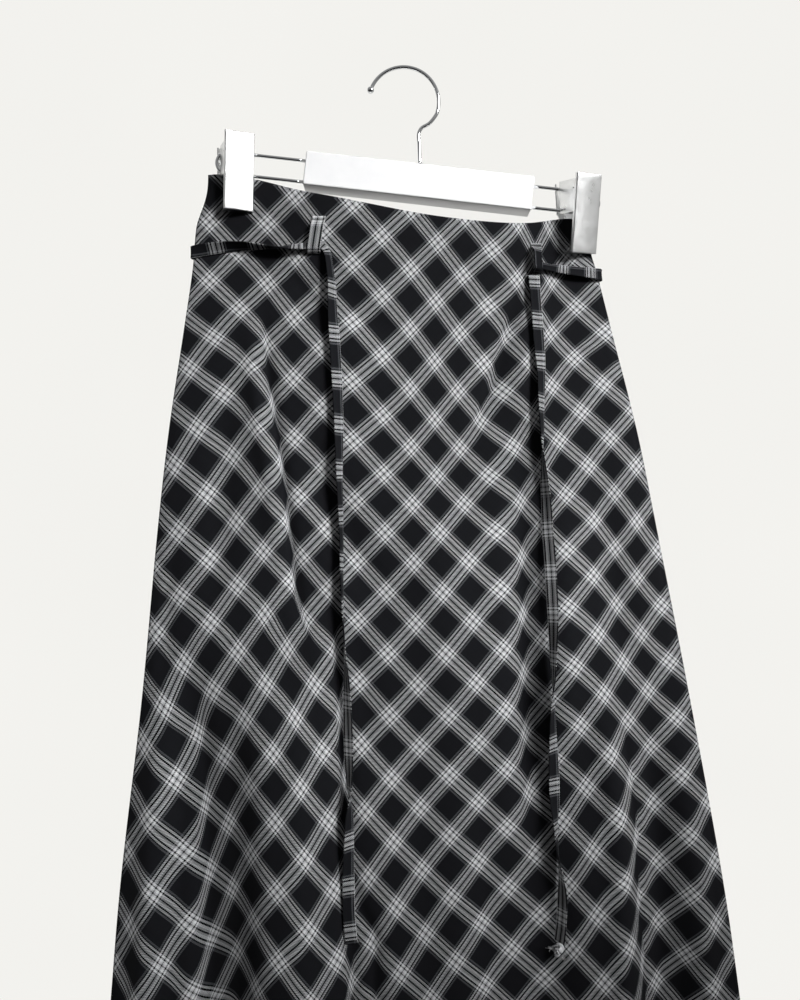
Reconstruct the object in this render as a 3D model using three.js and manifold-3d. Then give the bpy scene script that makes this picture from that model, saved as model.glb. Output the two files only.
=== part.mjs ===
// A bias-cut checked skirt with a narrow tie belt, held by the two clips of a skirt hanger.
// Millimetres, +Z up, the front of the skirt faces -Y. The origin is where the hanger's hook rests.
import * as THREE from "three";
import { mergeVertices } from "three/addons/utils/BufferGeometryUtils.js";
import Module from "manifold-3d";

const wasm = await Module();
wasm.setup();

// ---- Driving dimensions -------------------------------------------------------------------------

const SEAM_GAP = 0.3; // between pieces that are sewn or pressed together
const CLOTH = 1.4; // wall of the two panels
const STRIP = 1.2; // wall of the tie and the belt loops
const OUTER_FACE = SEAM_GAP / 2 + CLOTH; // outer face of a panel where front and back lie together

const PANEL_COLUMNS = 36; // facets across a panel
const PANEL_ROWS = 24; // facets from waist to hem

const TIE_WIDTH = 10.5;
const TIE_CLEAR = 0.6; // a strip lies this far off the cloth under it
const TIE_STEPS = 3; // facets between two rows of a tie table
const KNOT = { x: 129, z: -752.5, width: 10, depth: 7, height: 12 };
const LOOP_WIDTH = 11;
const LOOP_STEPS = 12;
const LOOP_BOW = { leaves: 0.06, full: 0.34, returns: 0.88 }; // down a loop, from its top to its low end

const HOOK_WIRE = 3.3;
const HOOK_RADIUS = 30.6; // centre line of the hook's round
const HOOK_TIP_ANGLE = 160; // degrees, from +X towards +Z
const HOOK_NECK_ANGLE = -21;
const HOOK_TIP_BALL = 2.9;
const HOOK_NECK = [
  { x: 22.5, z: -47.5 },
  { x: 15.6, z: -51.8 },
  { x: 13.2, z: -56.5 },
  { x: 13.6, z: -66 },
]; // the S-bend from the round into the stem

const BAR = { length: 198, height: 29, depth: 20, edge: 1.2 };
const BAR_CENTRE = { x: 13.1, z: -100.6 };
const BAR_TILT = THREE.MathUtils.degToRad(6.4); // the right end hangs lower
const ROD_WIRE = 3;
const ROD_SPREAD = 18.5; // between the two runs of a rod
const ROD_REACH = { left: 78, right: 59 }; // how far each rod is pulled out of the bar

const PLATE = { width: 25.6, height: 65, sheet: 1.2 };
const JAW_LIP = 5; // height of the folded lip that bites the cloth
const RIM = 3; // how far a plate's sides are folded back
const EAR_HEIGHT = 27; // of the two ears, folded back from a plate's sides, that the rods run between
const JAW_BLANK = 24; // how deep a jaw is before it is cut along the cloth
const JAW_CUTTER = 80;
const SPRING = { radius: 4, length: 12, leg: 1.6 };
const ROUND_SIDES = 10; // facets round a wire
const BEND_STEPS = 6; // facets round the end of a rod
const HOOK_STEP = 15; // degrees between two points of the hook's round
const BALL = { around: 12, down: 8 }; // facets of a ball

// One row for each clip: where the middle of its front plate lies, how it is turned, in degrees, and where
// its back plate and its spring lie along the bar.
const CLIPS = [
  {
    side: "left", x: -141, y: -12, z: -93.8, yaw: 23.5, pitch: 6, roll: 0.3,
    back_x: -144.5, spring_x: -148,
  },
  {
    side: "right", x: 156.7, y: -14.5, z: -131.3, yaw: 24.4, pitch: 11.3, roll: 3.4,
    back_x: 154, spring_x: 149.5,
  },
];

// ---- The cut of the skirt -----------------------------------------------------------------------

// Top edge of the skirt: across runs from 0 at the left side seam to 1 at the right one.
const WAIST = [
  { across: 0, x: -170.2, z: -92.8 },
  { across: 0.12, x: -129.8, z: -97.8 },
  { across: 0.25, x: -87, z: -109.2 },
  { across: 0.42, x: -30.8, z: -121 },
  { across: 0.58, x: 21.8, z: -131 },
  { across: 0.72, x: 67.8, z: -136.2 },
  { across: 0.84, x: 107.3, z: -136.4 },
  { across: 0.95, x: 143.5, z: -132.2 },
  { across: 1, x: 160.5, z: -136 },
];

// Bottom edge.
const HEM = [
  { across: 0, z: -868 },
  { across: 0.25, z: -893 },
  { across: 0.5, z: -905 },
  { across: 0.75, z: -909 },
  { across: 1, z: -902 },
];

// Side seams, and how far the front and back stand out from the plane of the seams.
const SIDES = [
  { z: -92, left: -170, right: 152, front: 6, back: 5 },
  { z: -136, left: -180, right: 160.8, front: 7, back: 6 },
  { z: -174, left: -183.5, right: 167.8, front: 8, back: 7 },
  { z: -226, left: -191, right: 180.5, front: 10, back: 8 },
  { z: -315, left: -204.2, right: 203, front: 13, back: 9 },
  { z: -402, left: -214, right: 220.6, front: 16, back: 10.5 },
  { z: -550, left: -227.8, right: 249.5, front: 21, back: 13 },
  { z: -707, left: -246, right: 278, front: 26, back: 15.5 },
  { z: -812, left: -254.8, right: 293, front: 29, back: 17 },
  { z: -909, left: -262, right: 304, front: 31, back: 18 },
];

// The largest folds of the front. Each starts at its top, runs to x_low at the hem and widens on its way;
// depth is how far it sinks in at the hem, and a ridge has a negative depth.
const FRONT_FOLDS = [
  { top: -560, x_top: -212, x_low: -226, wide_top: 18, wide_low: 22, depth: -6 },
  { top: -430, x_top: -150, x_low: -158, wide_top: 20, wide_low: 32, depth: 20 },
  { top: -430, x_top: -84, x_low: -92, wide_top: 22, wide_low: 30, depth: -8 },
  { top: -600, x_top: -40, x_low: -30, wide_top: 14, wide_low: 20, depth: 7 },
  { top: -520, x_top: 40, x_low: 46, wide_top: 30, wide_low: 40, depth: -5 },
  { top: -400, x_top: 104, x_low: 108, wide_top: 20, wide_low: 28, depth: 9 },
  { top: -420, x_top: 160, x_low: 182, wide_top: 18, wide_low: 24, depth: -10 },
  { top: -480, x_top: 208, x_low: 236, wide_top: 16, wide_low: 24, depth: 15 },
];

const BACK_FOLDS = [
  { top: -420, x_top: -165, x_low: -185, wide_top: 20, wide_low: 30, depth: -5 },
  { top: -380, x_top: -100, x_low: -112, wide_top: 22, wide_low: 34, depth: 9 },
  { top: -450, x_top: -20, x_low: -24, wide_top: 24, wide_low: 36, depth: -6 },
  { top: -360, x_top: 62, x_low: 70, wide_top: 22, wide_low: 32, depth: 9 },
  { top: -430, x_top: 132, x_low: 152, wide_top: 20, wide_low: 30, depth: -6 },
  { top: -500, x_top: 200, x_low: 222, wide_top: 16, wide_low: 26, depth: 7 },
];

// ---- The tie --------------------------------------------------------------------------------------

// Each row is a place on the strip's centre line. turn is the strip's twist out of the cloth's plane, in
// degrees: at 0 it lies flat, at 90 it stands on edge, past 90 its other face shows. wide is the share of
// its width that is left where a loop gathers it. facing, where a row has one, is the way the strip looks as
// it rounds a side seam: -90 to the left, 90 to the right.
const TIE_HANG_LEFT = [
  { x: -71.9, z: -157, turn: 18, wide: 0.62 },
  { x: -70.2, z: -157.4, turn: 20, wide: 0.62 },
  { x: -66.6, z: -161, turn: 32, wide: 0.64 },
  { x: -64.4, z: -168, turn: 46, wide: 0.72 },
  { x: -63, z: -178, turn: 54, wide: 0.86 },
  { x: -61.6, z: -190, turn: 56 },
  { x: -60.8, z: -212, turn: 46 },
  { x: -59.2, z: -236, turn: 36 },
  { x: -56.6, z: -276, turn: 38 },
  { x: -55, z: -318.5, turn: 50 },
  { x: -54.5, z: -352, turn: 64 },
  { x: -53, z: -400, turn: 76 },
  { x: -52, z: -451, turn: 84 },
  { x: -50, z: -498.5, turn: 96 },
  { x: -48.5, z: -522, turn: 112 },
  { x: -47.5, z: -550, turn: 132 },
  { x: -46.5, z: -583, turn: 138 },
  { x: -45.5, z: -614.5, turn: 118 },
  { x: -45.5, z: -642, turn: 56 },
  { x: -46, z: -667, turn: 40 },
  { x: -46.5, z: -694.5, turn: 22 },
  { x: -46, z: -725.5, turn: 10 },
  { x: -44, z: -749.5, turn: 4 },
];

const TIE_HANG_RIGHT = [
  { x: 112.5, z: -181, turn: 16 },
  { x: 114.5, z: -213, turn: 24 },
  { x: 116, z: -241, turn: 22 },
  { x: 117.5, z: -264.5, turn: 40 },
  { x: 117.5, z: -292, turn: 54 },
  { x: 118, z: -317.5, turn: 66 },
  { x: 118.5, z: -339, turn: 88 },
  { x: 119.5, z: -355.5, turn: 112 },
  { x: 121, z: -376, turn: 132 },
  { x: 122, z: -401.5, turn: 142 },
  { x: 123.5, z: -426.5, turn: 146 },
  { x: 125, z: -459.5, turn: 146 },
  { x: 125.5, z: -477, turn: 134 },
  { x: 125.5, z: -501, turn: 116 },
  { x: 125.5, z: -525, turn: 96 },
  { x: 125, z: -542.5, turn: 70 },
  { x: 125, z: -559.5, turn: 55 },
  { x: 125.5, z: -582.5, turn: 42 },
  { x: 126.5, z: -607.5, turn: 26 },
  { x: 127, z: -627, turn: 30 },
  { x: 127.5, z: -648, turn: 62 },
  { x: 128.5, z: -667, turn: 74 },
  { x: 131.5, z: -688, turn: 98 },
  { x: 132.5, z: -709, turn: 126 },
  { x: 131.5, z: -732, turn: 130 },
  { x: 130, z: -745, turn: 132 },
];

const TIE_WRAP_LEFT = [
  { x: -185, y: -0.4, z: -160.4, turn: 180, facing: -90 },
  { x: -184.8, y: -1.6, z: -160.4, turn: 180, facing: -78 },
  { x: -183.6, y: -2.9, z: -160.4, turn: 178, facing: -40 },
  { x: -180.4, z: -160, turn: 172 },
  { x: -168, z: -158.4, turn: 152 },
  { x: -154, z: -157, turn: 136 },
  { x: -138, z: -156.6, turn: 118 },
  { x: -122, z: -157.4, turn: 96 },
  { x: -106, z: -158.2, turn: 70, wide: 0.95 },
  { x: -92, z: -157.8, turn: 44, wide: 0.8 },
  { x: -80, z: -157.1, turn: 20, wide: 0.64 },
  { x: -72.8, z: -157, turn: 18, wide: 0.62 },
];

const TIE_WRAP_RIGHT = [
  { x: 172.4, y: -0.4, z: -180, turn: 176, facing: 90 },
  { x: 172.2, y: -1.6, z: -180, turn: 176, facing: 78 },
  { x: 170.9, y: -2.9, z: -180, turn: 174, facing: 40 },
  { x: 164, z: -179.4, turn: 162 },
  { x: 152, z: -178.2, turn: 152 },
  { x: 138, z: -176.4, turn: 150, wide: 0.9 },
  { x: 126, z: -174.4, turn: 158, wide: 0.7 },
  { x: 118.5, z: -173, turn: 160, wide: 0.62 },
  { x: 112.5, z: -172.8, turn: 160, wide: 0.62 },
];

const TIE_BACK = [
  { x: 172.4, y: 0.4, z: -180, turn: 176, facing: 90 },
  { x: 172.2, y: 1.6, z: -180, turn: 176, facing: 102 },
  { x: 170.9, y: 3, z: -180, turn: 178, facing: 140 },
  { x: 164, z: -180, turn: 180, facing: 180 },
  { x: 120, z: -178.6, turn: 180, facing: 180 },
  { x: 60, z: -176.4, turn: 180, facing: 180 },
  { x: 0, z: -173.6, turn: 180, facing: 180 },
  { x: -60, z: -169.4, turn: 180, facing: 180 },
  { x: -120, z: -164.6, turn: 180, facing: 180 },
  { x: -177, z: -160.8, turn: 180, facing: 180 },
  { x: -183.6, y: 3, z: -160.4, turn: 180, facing: 220 },
  { x: -184.8, y: 1.6, z: -160.4, turn: 180, facing: 258 },
  { x: -185, y: 0.4, z: -160.4, turn: 180, facing: 270 },
];

// One row for each belt loop: its top and bottom on the panel, and how far its lower half bows out.
const LOOPS = [
  { name: "loop_front_left", x_top: -72.8, top: -131.4, x_low: -77.6, low: -163.6, bow: 4.6, facing: 0 },
  { name: "loop_front_right", x_top: 114.8, top: -153.4, x_low: 116.4, low: -179.4, bow: 4.4, facing: 0 },
  { name: "loop_back", x_top: 0, top: -158, x_low: 0, low: -189, bow: 2.4, facing: 180 },
];

// ---- Colours --------------------------------------------------------------------------------------

const FINISHES = {
  check: { color: 0x55575c, roughness: 0.85, metalness: 0 },
  tie: { color: 0x3c3e44, roughness: 0.85, metalness: 0 },
  white: { color: 0xf2f2f0, roughness: 0.35, metalness: 0 },
  chrome: { color: 0xd8dadb, roughness: 0.12, metalness: 1 },
};

const finish = (name) => new THREE.MeshStandardMaterial({ ...FINISHES[name], flatShading: true });

function piece(name, geometry, finishName) {
  const mesh = new THREE.Mesh(geometry, finish(finishName));
  mesh.name = name;
  return mesh;
}

// ---- Reading a table ------------------------------------------------------------------------------

// The value of one column, on a smooth curve through the rows, where the column named key is at.
function read(rows, key, column, at) {
  const rising = rows[rows.length - 1][key] > rows[0][key];
  const ordered = rising ? rows : [...rows].reverse();
  const last = ordered.length - 1;
  const held = Math.min(Math.max(at, ordered[0][key]), ordered[last][key]);
  let i = 0;
  while (i < last - 1 && held > ordered[i + 1][key]) i += 1;
  const slope = (k) => {
    const before = ordered[Math.max(k - 1, 0)];
    const after = ordered[Math.min(k + 1, last)];
    return (after[column] - before[column]) / (after[key] - before[key]);
  };
  const from = ordered[i];
  const to = ordered[i + 1];
  const span = to[key] - from[key];
  const f = (held - from[key]) / span;
  const risen = f * f * (3 - 2 * f);
  const start = f * (1 - f) * (1 - f) * span * slope(i);
  const end = f * f * (f - 1) * span * slope(i + 1);
  return from[column] * (1 - risen) + to[column] * risen + start + end;
}

const smooth = THREE.MathUtils.smoothstep;
const mix = THREE.MathUtils.lerp;

// ---- The cloth's form -----------------------------------------------------------------------------

const HEM_LEVEL = HEM[2].z;
const CLIP_LEVEL = -160; // down to here the panels lie flat together, apart from the bow between the clips
const FREE_LEVEL = -330; // and from here they hang as one free form
const BOW = { left: 0.14, full_left: 0.38, full_right: 0.66, right: 0.92 }; // across, from clip to clip
const SEAM_EASE = 0.06; // folds fade out in this share of the width beside a seam
const WAIST_EASE = 0.06; // the waist's own line fades into the side seams in this share of the length
const NORMAL_STEP = 0.004;

const acrossAt = (x, z) => {
  const left = read(SIDES, "z", "left", z);
  const right = read(SIDES, "z", "right", z);
  return THREE.MathUtils.clamp((x - left) / (right - left), 0, 1);
};

function foldDepth(folds, x, z) {
  let sum = 0;
  for (const fold of folds) {
    const down = (fold.top - z) / (fold.top - HEM_LEVEL);
    if (down <= 0) continue;
    const off = (x - mix(fold.x_top, fold.x_low, down)) / mix(fold.wide_top, fold.wide_low, down);
    sum += fold.depth * smooth(down, 0, 1) * Math.exp(-off * off);
  }
  return sum;
}

// How far a panel's middle surface stands out from its place at the seams.
function standsOut(x, z, column, folds) {
  const across = acrossAt(x, z);
  const betweenClips =
    smooth(across, BOW.left, BOW.full_left) * (1 - smooth(across, BOW.full_right, BOW.right));
  const free = 1 - Math.abs(2 * across - 1) ** 3;
  const bow = mix(betweenClips, free, 1 - smooth(z, FREE_LEVEL, CLIP_LEVEL));
  const edge = smooth(across, 0, SEAM_EASE) * (1 - smooth(across, 1 - SEAM_EASE, 1));
  return Math.max(0, read(SIDES, "z", column, z) * bow - edge * foldDepth(folds, x, z));
}

const AT_SEAM = (SEAM_GAP + CLOTH) / 2;
const frontY = (x, z) => -AT_SEAM - standsOut(x, z, "front", FRONT_FOLDS);
const backY = (x, z) => AT_SEAM + standsOut(x, z, "back", BACK_FOLDS);

// A point of a panel's middle surface: across from the left seam to the right, down from waist to hem.
function panelPoint(across, down, surface) {
  const z = mix(read(WAIST, "across", "z", across), read(HEM, "across", "z", across), down);
  const left = read(SIDES, "z", "left", z);
  const right = read(SIDES, "z", "right", z);
  const under = mix(left, right, across);
  const x = mix(read(WAIST, "across", "x", across), under, smooth(down, 0, WAIST_EASE));
  return new THREE.Vector3(x, surface(x, z), z);
}

function panelNormal(across, down, surface) {
  const inside = (share) => THREE.MathUtils.clamp(share, 0, 1);
  const at = (a, d) => panelPoint(inside(a), inside(d), surface);
  const side = at(across + NORMAL_STEP, down).sub(at(across - NORMAL_STEP, down));
  const fall = at(across, down + NORMAL_STEP).sub(at(across, down - NORMAL_STEP));
  return fall.cross(side).normalize();
}

// ---- Closed solids from rings ---------------------------------------------------------------------

// rings[i][k] is corner k of ring i. The rings are joined in order and closed by a flat cap at each end.
function ringSolid(rings) {
  const sides = rings[0].length;
  const positions = rings.flat().flatMap((p) => [p.x, p.y, p.z]);
  const index = [];
  for (let i = 0; i < rings.length - 1; i += 1) {
    for (let k = 0; k < sides; k += 1) {
      const a = i * sides + k;
      const b = i * sides + ((k + 1) % sides);
      index.push(a, b, b + sides, a, b + sides, a + sides);
    }
  }
  const last = (rings.length - 1) * sides;
  for (let k = 1; k < sides - 1; k += 1) {
    index.push(0, k + 1, k);
    index.push(last, last + k, last + k + 1);
  }
  const geometry = new THREE.BufferGeometry();
  geometry.setAttribute("position", new THREE.Float32BufferAttribute(positions, 3));
  geometry.setIndex(index);
  return facedOut(geometry);
}

// Turns a closed geometry's faces round if they point inwards.
function facedOut(geometry) {
  const p = geometry.getAttribute("position");
  const index = geometry.getIndex();
  const corner = (i) => new THREE.Vector3().fromBufferAttribute(p, index.getX(i));
  let volume = 0;
  for (let i = 0; i < index.count; i += 3) {
    volume += corner(i).dot(corner(i + 1).cross(corner(i + 2)));
  }
  if (volume < 0) {
    for (let i = 0; i < index.count; i += 3) {
      const second = index.getX(i + 1);
      index.setX(i + 1, index.getX(i + 2));
      index.setX(i + 2, second);
    }
  }
  geometry.computeVertexNormals();
  return geometry;
}

// A cloth wall through a panel's surface: outer and inner face, and the rim that closes them.
function panelSolid(surface) {
  const columns = PANEL_COLUMNS;
  const rows = PANEL_ROWS;
  const points = [];
  for (const face of [1, -1]) {
    for (let r = 0; r <= rows; r += 1) {
      for (let c = 0; c <= columns; c += 1) {
        const middle = panelPoint(c / columns, r / rows, surface);
        const normal = panelNormal(c / columns, r / rows, surface);
        points.push(middle.addScaledVector(normal, (face * CLOTH) / 2));
      }
    }
  }
  const inner = (rows + 1) * (columns + 1);
  const at = (r, c) => r * (columns + 1) + c;
  const index = [];
  const quad = (a, b, c, d) => index.push(a, b, c, a, c, d);
  for (let r = 0; r < rows; r += 1) {
    for (let c = 0; c < columns; c += 1) {
      quad(at(r, c), at(r, c + 1), at(r + 1, c + 1), at(r + 1, c));
      quad(inner + at(r, c), inner + at(r + 1, c), inner + at(r + 1, c + 1), inner + at(r, c + 1));
    }
  }
  for (let c = 0; c < columns; c += 1) {
    quad(at(0, c + 1), at(0, c), inner + at(0, c), inner + at(0, c + 1));
    quad(at(rows, c), at(rows, c + 1), inner + at(rows, c + 1), inner + at(rows, c));
  }
  for (let r = 0; r < rows; r += 1) {
    quad(at(r, 0), at(r + 1, 0), inner + at(r + 1, 0), inner + at(r, 0));
    quad(at(r + 1, columns), at(r, columns), inner + at(r, columns), inner + at(r + 1, columns));
  }
  const positions = points.flatMap((p) => p.toArray());
  const geometry = new THREE.BufferGeometry();
  geometry.setAttribute("position", new THREE.Float32BufferAttribute(positions, 3));
  geometry.setIndex(index);
  return facedOut(geometry);
}

// ---- Strips that lie on the panels ----------------------------------------------------------------

// Where the outer face of a panel stands proudest within reach of x, at height z.
function proudest(x, z, reach, back) {
  const surface = back ? backY : frontY;
  const outer = (at) => {
    const slope = (surface(at + 1, z) - surface(at - 1, z)) / 2;
    const fall = (surface(at, z + 1) - surface(at, z - 1)) / 2;
    return Math.abs(surface(at, z)) + (CLOTH / 2) * Math.hypot(1, slope, fall);
  };
  const farthest = Math.max(...[-1, -0.5, 0, 0.5, 1].map((share) => outer(x + share * reach)));
  return back ? farthest : -farthest;
}

// The strip's centre line, lifted off the cloth by its clearance and by what its twist needs.
function tieCentre(row) {
  const back = row.facing === 180;
  const turn = THREE.MathUtils.degToRad(row.turn);
  const width = TIE_WIDTH * (row.wide ?? 1);
  const needs = TIE_CLEAR + (Math.abs(Math.sin(turn)) * width + Math.abs(Math.cos(turn)) * STRIP) / 2;
  const y = row.y ?? proudest(row.x, row.z, width / 2, back) + (back ? needs : -needs);
  return new THREE.Vector3(row.x, y, row.z);
}

function strip(rows) {
  const line = new THREE.CatmullRomCurve3(rows.map(tieCentre), false, "centripetal");
  const steps = (rows.length - 1) * TIE_STEPS;
  const numbered = rows.map((row, i) => ({
    i,
    turn: row.turn,
    facing: row.facing ?? 0,
    wide: row.wide ?? 1,
  }));
  const rings = [];
  for (let k = 0; k <= steps; k += 1) {
    const u = k / steps;
    const along = u * (rows.length - 1);
    const facing = THREE.MathUtils.degToRad(read(numbered, "i", "facing", along));
    const turn = THREE.MathUtils.degToRad(read(numbered, "i", "turn", along));
    const width = TIE_WIDTH * read(numbered, "i", "wide", along);
    const outward = new THREE.Vector3(Math.sin(facing), -Math.cos(facing), 0);
    const tangent = line.getTangent(u);
    const beside = tangent.clone().cross(outward).normalize();
    const up = beside.clone().cross(tangent).normalize();
    const wide = beside.clone().multiplyScalar(Math.cos(turn)).addScaledVector(up, Math.sin(turn));
    const thick = tangent.clone().cross(wide).normalize();
    const centre = line.getPoint(u);
    const corner = (w, t) =>
      centre.clone().addScaledVector(wide, (w * width) / 2).addScaledVector(thick, (t * STRIP) / 2);
    rings.push([corner(-1, -1), corner(1, -1), corner(1, 1), corner(-1, 1)]);
  }
  return ringSolid(rings);
}

// A belt loop: sewn down at both ends, with its lower half bowed out over the tie.
function loopSolid(loop) {
  const back = loop.facing === 180;
  const out = back ? 1 : -1;
  const rings = [];
  for (let k = 0; k <= LOOP_STEPS; k += 1) {
    const down = k / LOOP_STEPS;
    const x = mix(loop.x_top, loop.x_low, down);
    const z = mix(loop.top, loop.low, down);
    const lift = smooth(down, LOOP_BOW.leaves, LOOP_BOW.full) * (1 - smooth(down, LOOP_BOW.returns, 1));
    const y = proudest(x, z, LOOP_WIDTH / 2, back) + out * (SEAM_GAP + STRIP / 2 + loop.bow * lift);
    const corner = (w, t) => new THREE.Vector3(x + (w * LOOP_WIDTH) / 2, y + (t * STRIP) / 2, z);
    rings.push([corner(-1, -1), corner(1, -1), corner(1, 1), corner(-1, 1)]);
  }
  return ringSolid(rings);
}

// The small knot at the end of the right tie: an egg, flatter from front to back.
function knotGeometry() {
  const egg = new THREE.SphereGeometry(0.5, BALL.around, BALL.down);
  egg.scale(KNOT.width, KNOT.depth, KNOT.height);
  const y = proudest(KNOT.x, KNOT.z, KNOT.width / 4, false) - SEAM_GAP - KNOT.depth / 2;
  egg.translate(KNOT.x, y, KNOT.z);
  return egg;
}

// ---- Joining and cutting --------------------------------------------------------------------------

function solid(geometry) {
  const bare = geometry.clone();
  bare.deleteAttribute("normal");
  bare.deleteAttribute("uv");
  const merged = mergeVertices(bare, 1e-4);
  return new wasm.Manifold(
    new wasm.Mesh({
      numProp: 3,
      vertProperties: new Float32Array(merged.getAttribute("position").array),
      triVerts: new Uint32Array(merged.getIndex().array),
    }),
  );
}

function geometryOf(manifold) {
  const { vertProperties, triVerts } = manifold.getMesh();
  const geometry = new THREE.BufferGeometry();
  geometry.setAttribute("position", new THREE.Float32BufferAttribute(vertProperties, 3));
  geometry.setIndex(Array.from(triVerts));
  geometry.computeVertexNormals();
  return geometry;
}

const box = (width, depth, height, x, y, z) =>
  new THREE.BoxGeometry(width, depth, height).translate(x, y, z);

// ---- The hanger -----------------------------------------------------------------------------------

function roundWire(diameter, points, stepsPerPoint) {
  const circle = new THREE.Shape();
  circle.absarc(0, 0, diameter / 2, 0, 2 * Math.PI);
  return new THREE.ExtrudeGeometry(circle, {
    extrudePath: new THREE.CatmullRomCurve3(points, false, "centripetal"),
    steps: (points.length - 1) * stepsPerPoint,
    curveSegments: ROUND_SIDES / 2,
    bevelEnabled: false,
  });
}

// Height of the bar's top face over the stem.
const stemFoot = () => {
  const x = HOOK_NECK[HOOK_NECK.length - 1].x + 0.8;
  const z = BAR_CENTRE.z - (x - BAR_CENTRE.x) * Math.tan(BAR_TILT) + BAR.height / 2 / Math.cos(BAR_TILT);
  return { x, z: z + SEAM_GAP + (HOOK_WIRE / 2) * Math.sin(BAR_TILT) };
};

function hookGeometry() {
  const centre = -(HOOK_RADIUS - HOOK_WIRE / 2);
  const points = [];
  for (let angle = HOOK_TIP_ANGLE; angle >= HOOK_NECK_ANGLE; angle -= HOOK_STEP) {
    const turn = THREE.MathUtils.degToRad(angle);
    points.push(new THREE.Vector3(HOOK_RADIUS * Math.cos(turn), 0, centre + HOOK_RADIUS * Math.sin(turn)));
  }
  for (const bend of [...HOOK_NECK, stemFoot()]) points.push(new THREE.Vector3(bend.x, 0, bend.z));
  const ball = new THREE.SphereGeometry(HOOK_TIP_BALL, BALL.around, BALL.down);
  ball.translate(points[0].x, 0, points[0].z);
  return geometryOf(solid(roundWire(HOOK_WIRE, points, 2)).add(solid(ball)));
}

function barGeometry() {
  const { length, height, depth, edge } = BAR;
  const face = new THREE.Shape();
  face.moveTo(-length / 2 + edge, -height / 2 + edge);
  face.lineTo(length / 2 - edge, -height / 2 + edge);
  face.lineTo(length / 2 - edge, height / 2 - edge);
  face.lineTo(-length / 2 + edge, height / 2 - edge);
  const bar = new THREE.ExtrudeGeometry(face, {
    depth: depth - 2 * edge,
    bevelThickness: edge,
    bevelSize: edge,
    bevelSegments: 2,
  });
  return bar.translate(0, 0, -depth / 2 + edge).rotateX(Math.PI / 2);
}

// A rod is one wire bent to a U: out along the upper run, round, and back along the lower one.
function rodGeometry(side) {
  const way = side === "left" ? -1 : 1;
  const start = BAR.length / 2 + SEAM_GAP;
  const reach = BAR.length / 2 + ROD_REACH[side];
  const bend = ROD_SPREAD / 2;
  const points = [];
  const halfway = (start + reach - bend) / 2;
  const add = (x, z) => points.push(new THREE.Vector3(way * x, 0, z));
  add(start, bend);
  add(halfway, bend);
  for (let k = 0; k <= BEND_STEPS; k += 1) {
    const turn = Math.PI / 2 - (k * Math.PI) / BEND_STEPS;
    add(reach - bend + bend * Math.cos(turn), bend * Math.sin(turn));
  }
  add(halfway, -bend);
  add(start, -bend);
  return roundWire(ROD_WIRE, points, 1);
}

// Height of the rods' middle line over x.
const onRods = (x) => BAR_CENTRE.z - (x - BAR_CENTRE.x) * Math.tan(BAR_TILT);

const platePlace = (clip, back) =>
  new THREE.Matrix4().compose(
    new THREE.Vector3(back ? clip.back_x : clip.x, back ? -clip.y : clip.y, clip.z),
    new THREE.Quaternion().setFromEuler(
      new THREE.Euler(
        THREE.MathUtils.degToRad(back ? -clip.pitch : clip.pitch),
        THREE.MathUtils.degToRad(-clip.roll),
        THREE.MathUtils.degToRad(back ? -clip.yaw : clip.yaw),
        "ZYX",
      ),
    ),
    new THREE.Vector3(1, 1, 1),
  );

// A clip's jaw: a steel plate with a shallow rim down each side, an ear beside the rods, and a lip that bites
// the cloth. Everything past the cloth's outer face is cut away, so that the jaw closes on it.
function jawGeometry(clip, back) {
  const inward = back ? -1 : 1;
  const { width, height, sheet } = PLATE;
  const side = (width - sheet) / 2;
  const into = (inward * (JAW_BLANK - sheet)) / 2;
  const rim = (inward * (RIM - sheet)) / 2;
  const rods = onRods(clip.x) - clip.z;
  const parts = [
    box(width, sheet, height, 0, 0, 0),
    box(sheet, RIM, height, -side, rim, 0),
    box(sheet, RIM, height, side, rim, 0),
    box(sheet, JAW_BLANK, EAR_HEIGHT, -side, into, rods),
    box(sheet, JAW_BLANK, EAR_HEIGHT, side, into, rods),
    box(width, JAW_BLANK, JAW_LIP, 0, into, -(height - JAW_LIP) / 2),
  ];
  const place = platePlace(clip, back);
  const whole = parts.map((part) => solid(part.applyMatrix4(place))).reduce((a, b) => a.add(b));
  const past = inward * (JAW_CUTTER / 2 - OUTER_FACE - SEAM_GAP);
  const cutter = box(JAW_CUTTER, JAW_CUTTER, 2 * JAW_CUTTER, clip.x, past, clip.z);
  return geometryOf(whole.subtract(solid(cutter)));
}

// The spring between the jaws, on the rods' middle line: its coil, and a leg out to each plate.
function springGeometry(clip) {
  const x = clip.spring_x;
  const z = onRods(x);
  const coil = new THREE.CylinderGeometry(SPRING.radius, SPRING.radius, SPRING.length, ROUND_SIDES + 2);
  coil.rotateZ(Math.PI / 2).rotateY(BAR_TILT).translate(x, 0, z);
  const touches = (back) => {
    const plane = new THREE.Plane().setComponents(0, 1, 0, 0).applyMatrix4(platePlace(clip, back));
    const line = new THREE.Line3(new THREE.Vector3(x, -JAW_CUTTER, z), new THREE.Vector3(x, JAW_CUTTER, z));
    return plane.intersectLine(line, new THREE.Vector3()).y;
  };
  const slack = PLATE.sheet / 2 + SEAM_GAP + SPRING.leg / 3;
  const from = touches(false) + slack;
  const to = touches(true) - slack;
  const leg = box(SPRING.leg, to - from, SPRING.leg, x, (from + to) / 2, z);
  return geometryOf(solid(coil).add(solid(leg)));
}

// ---- The whole part -------------------------------------------------------------------------------

const skirt = new THREE.Group();
skirt.add(piece("front_panel", panelSolid(frontY), "check"));
skirt.add(piece("back_panel", panelSolid(backY), "check"));
for (const loop of LOOPS) skirt.add(piece(loop.name, loopSolid(loop), "tie"));

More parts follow.
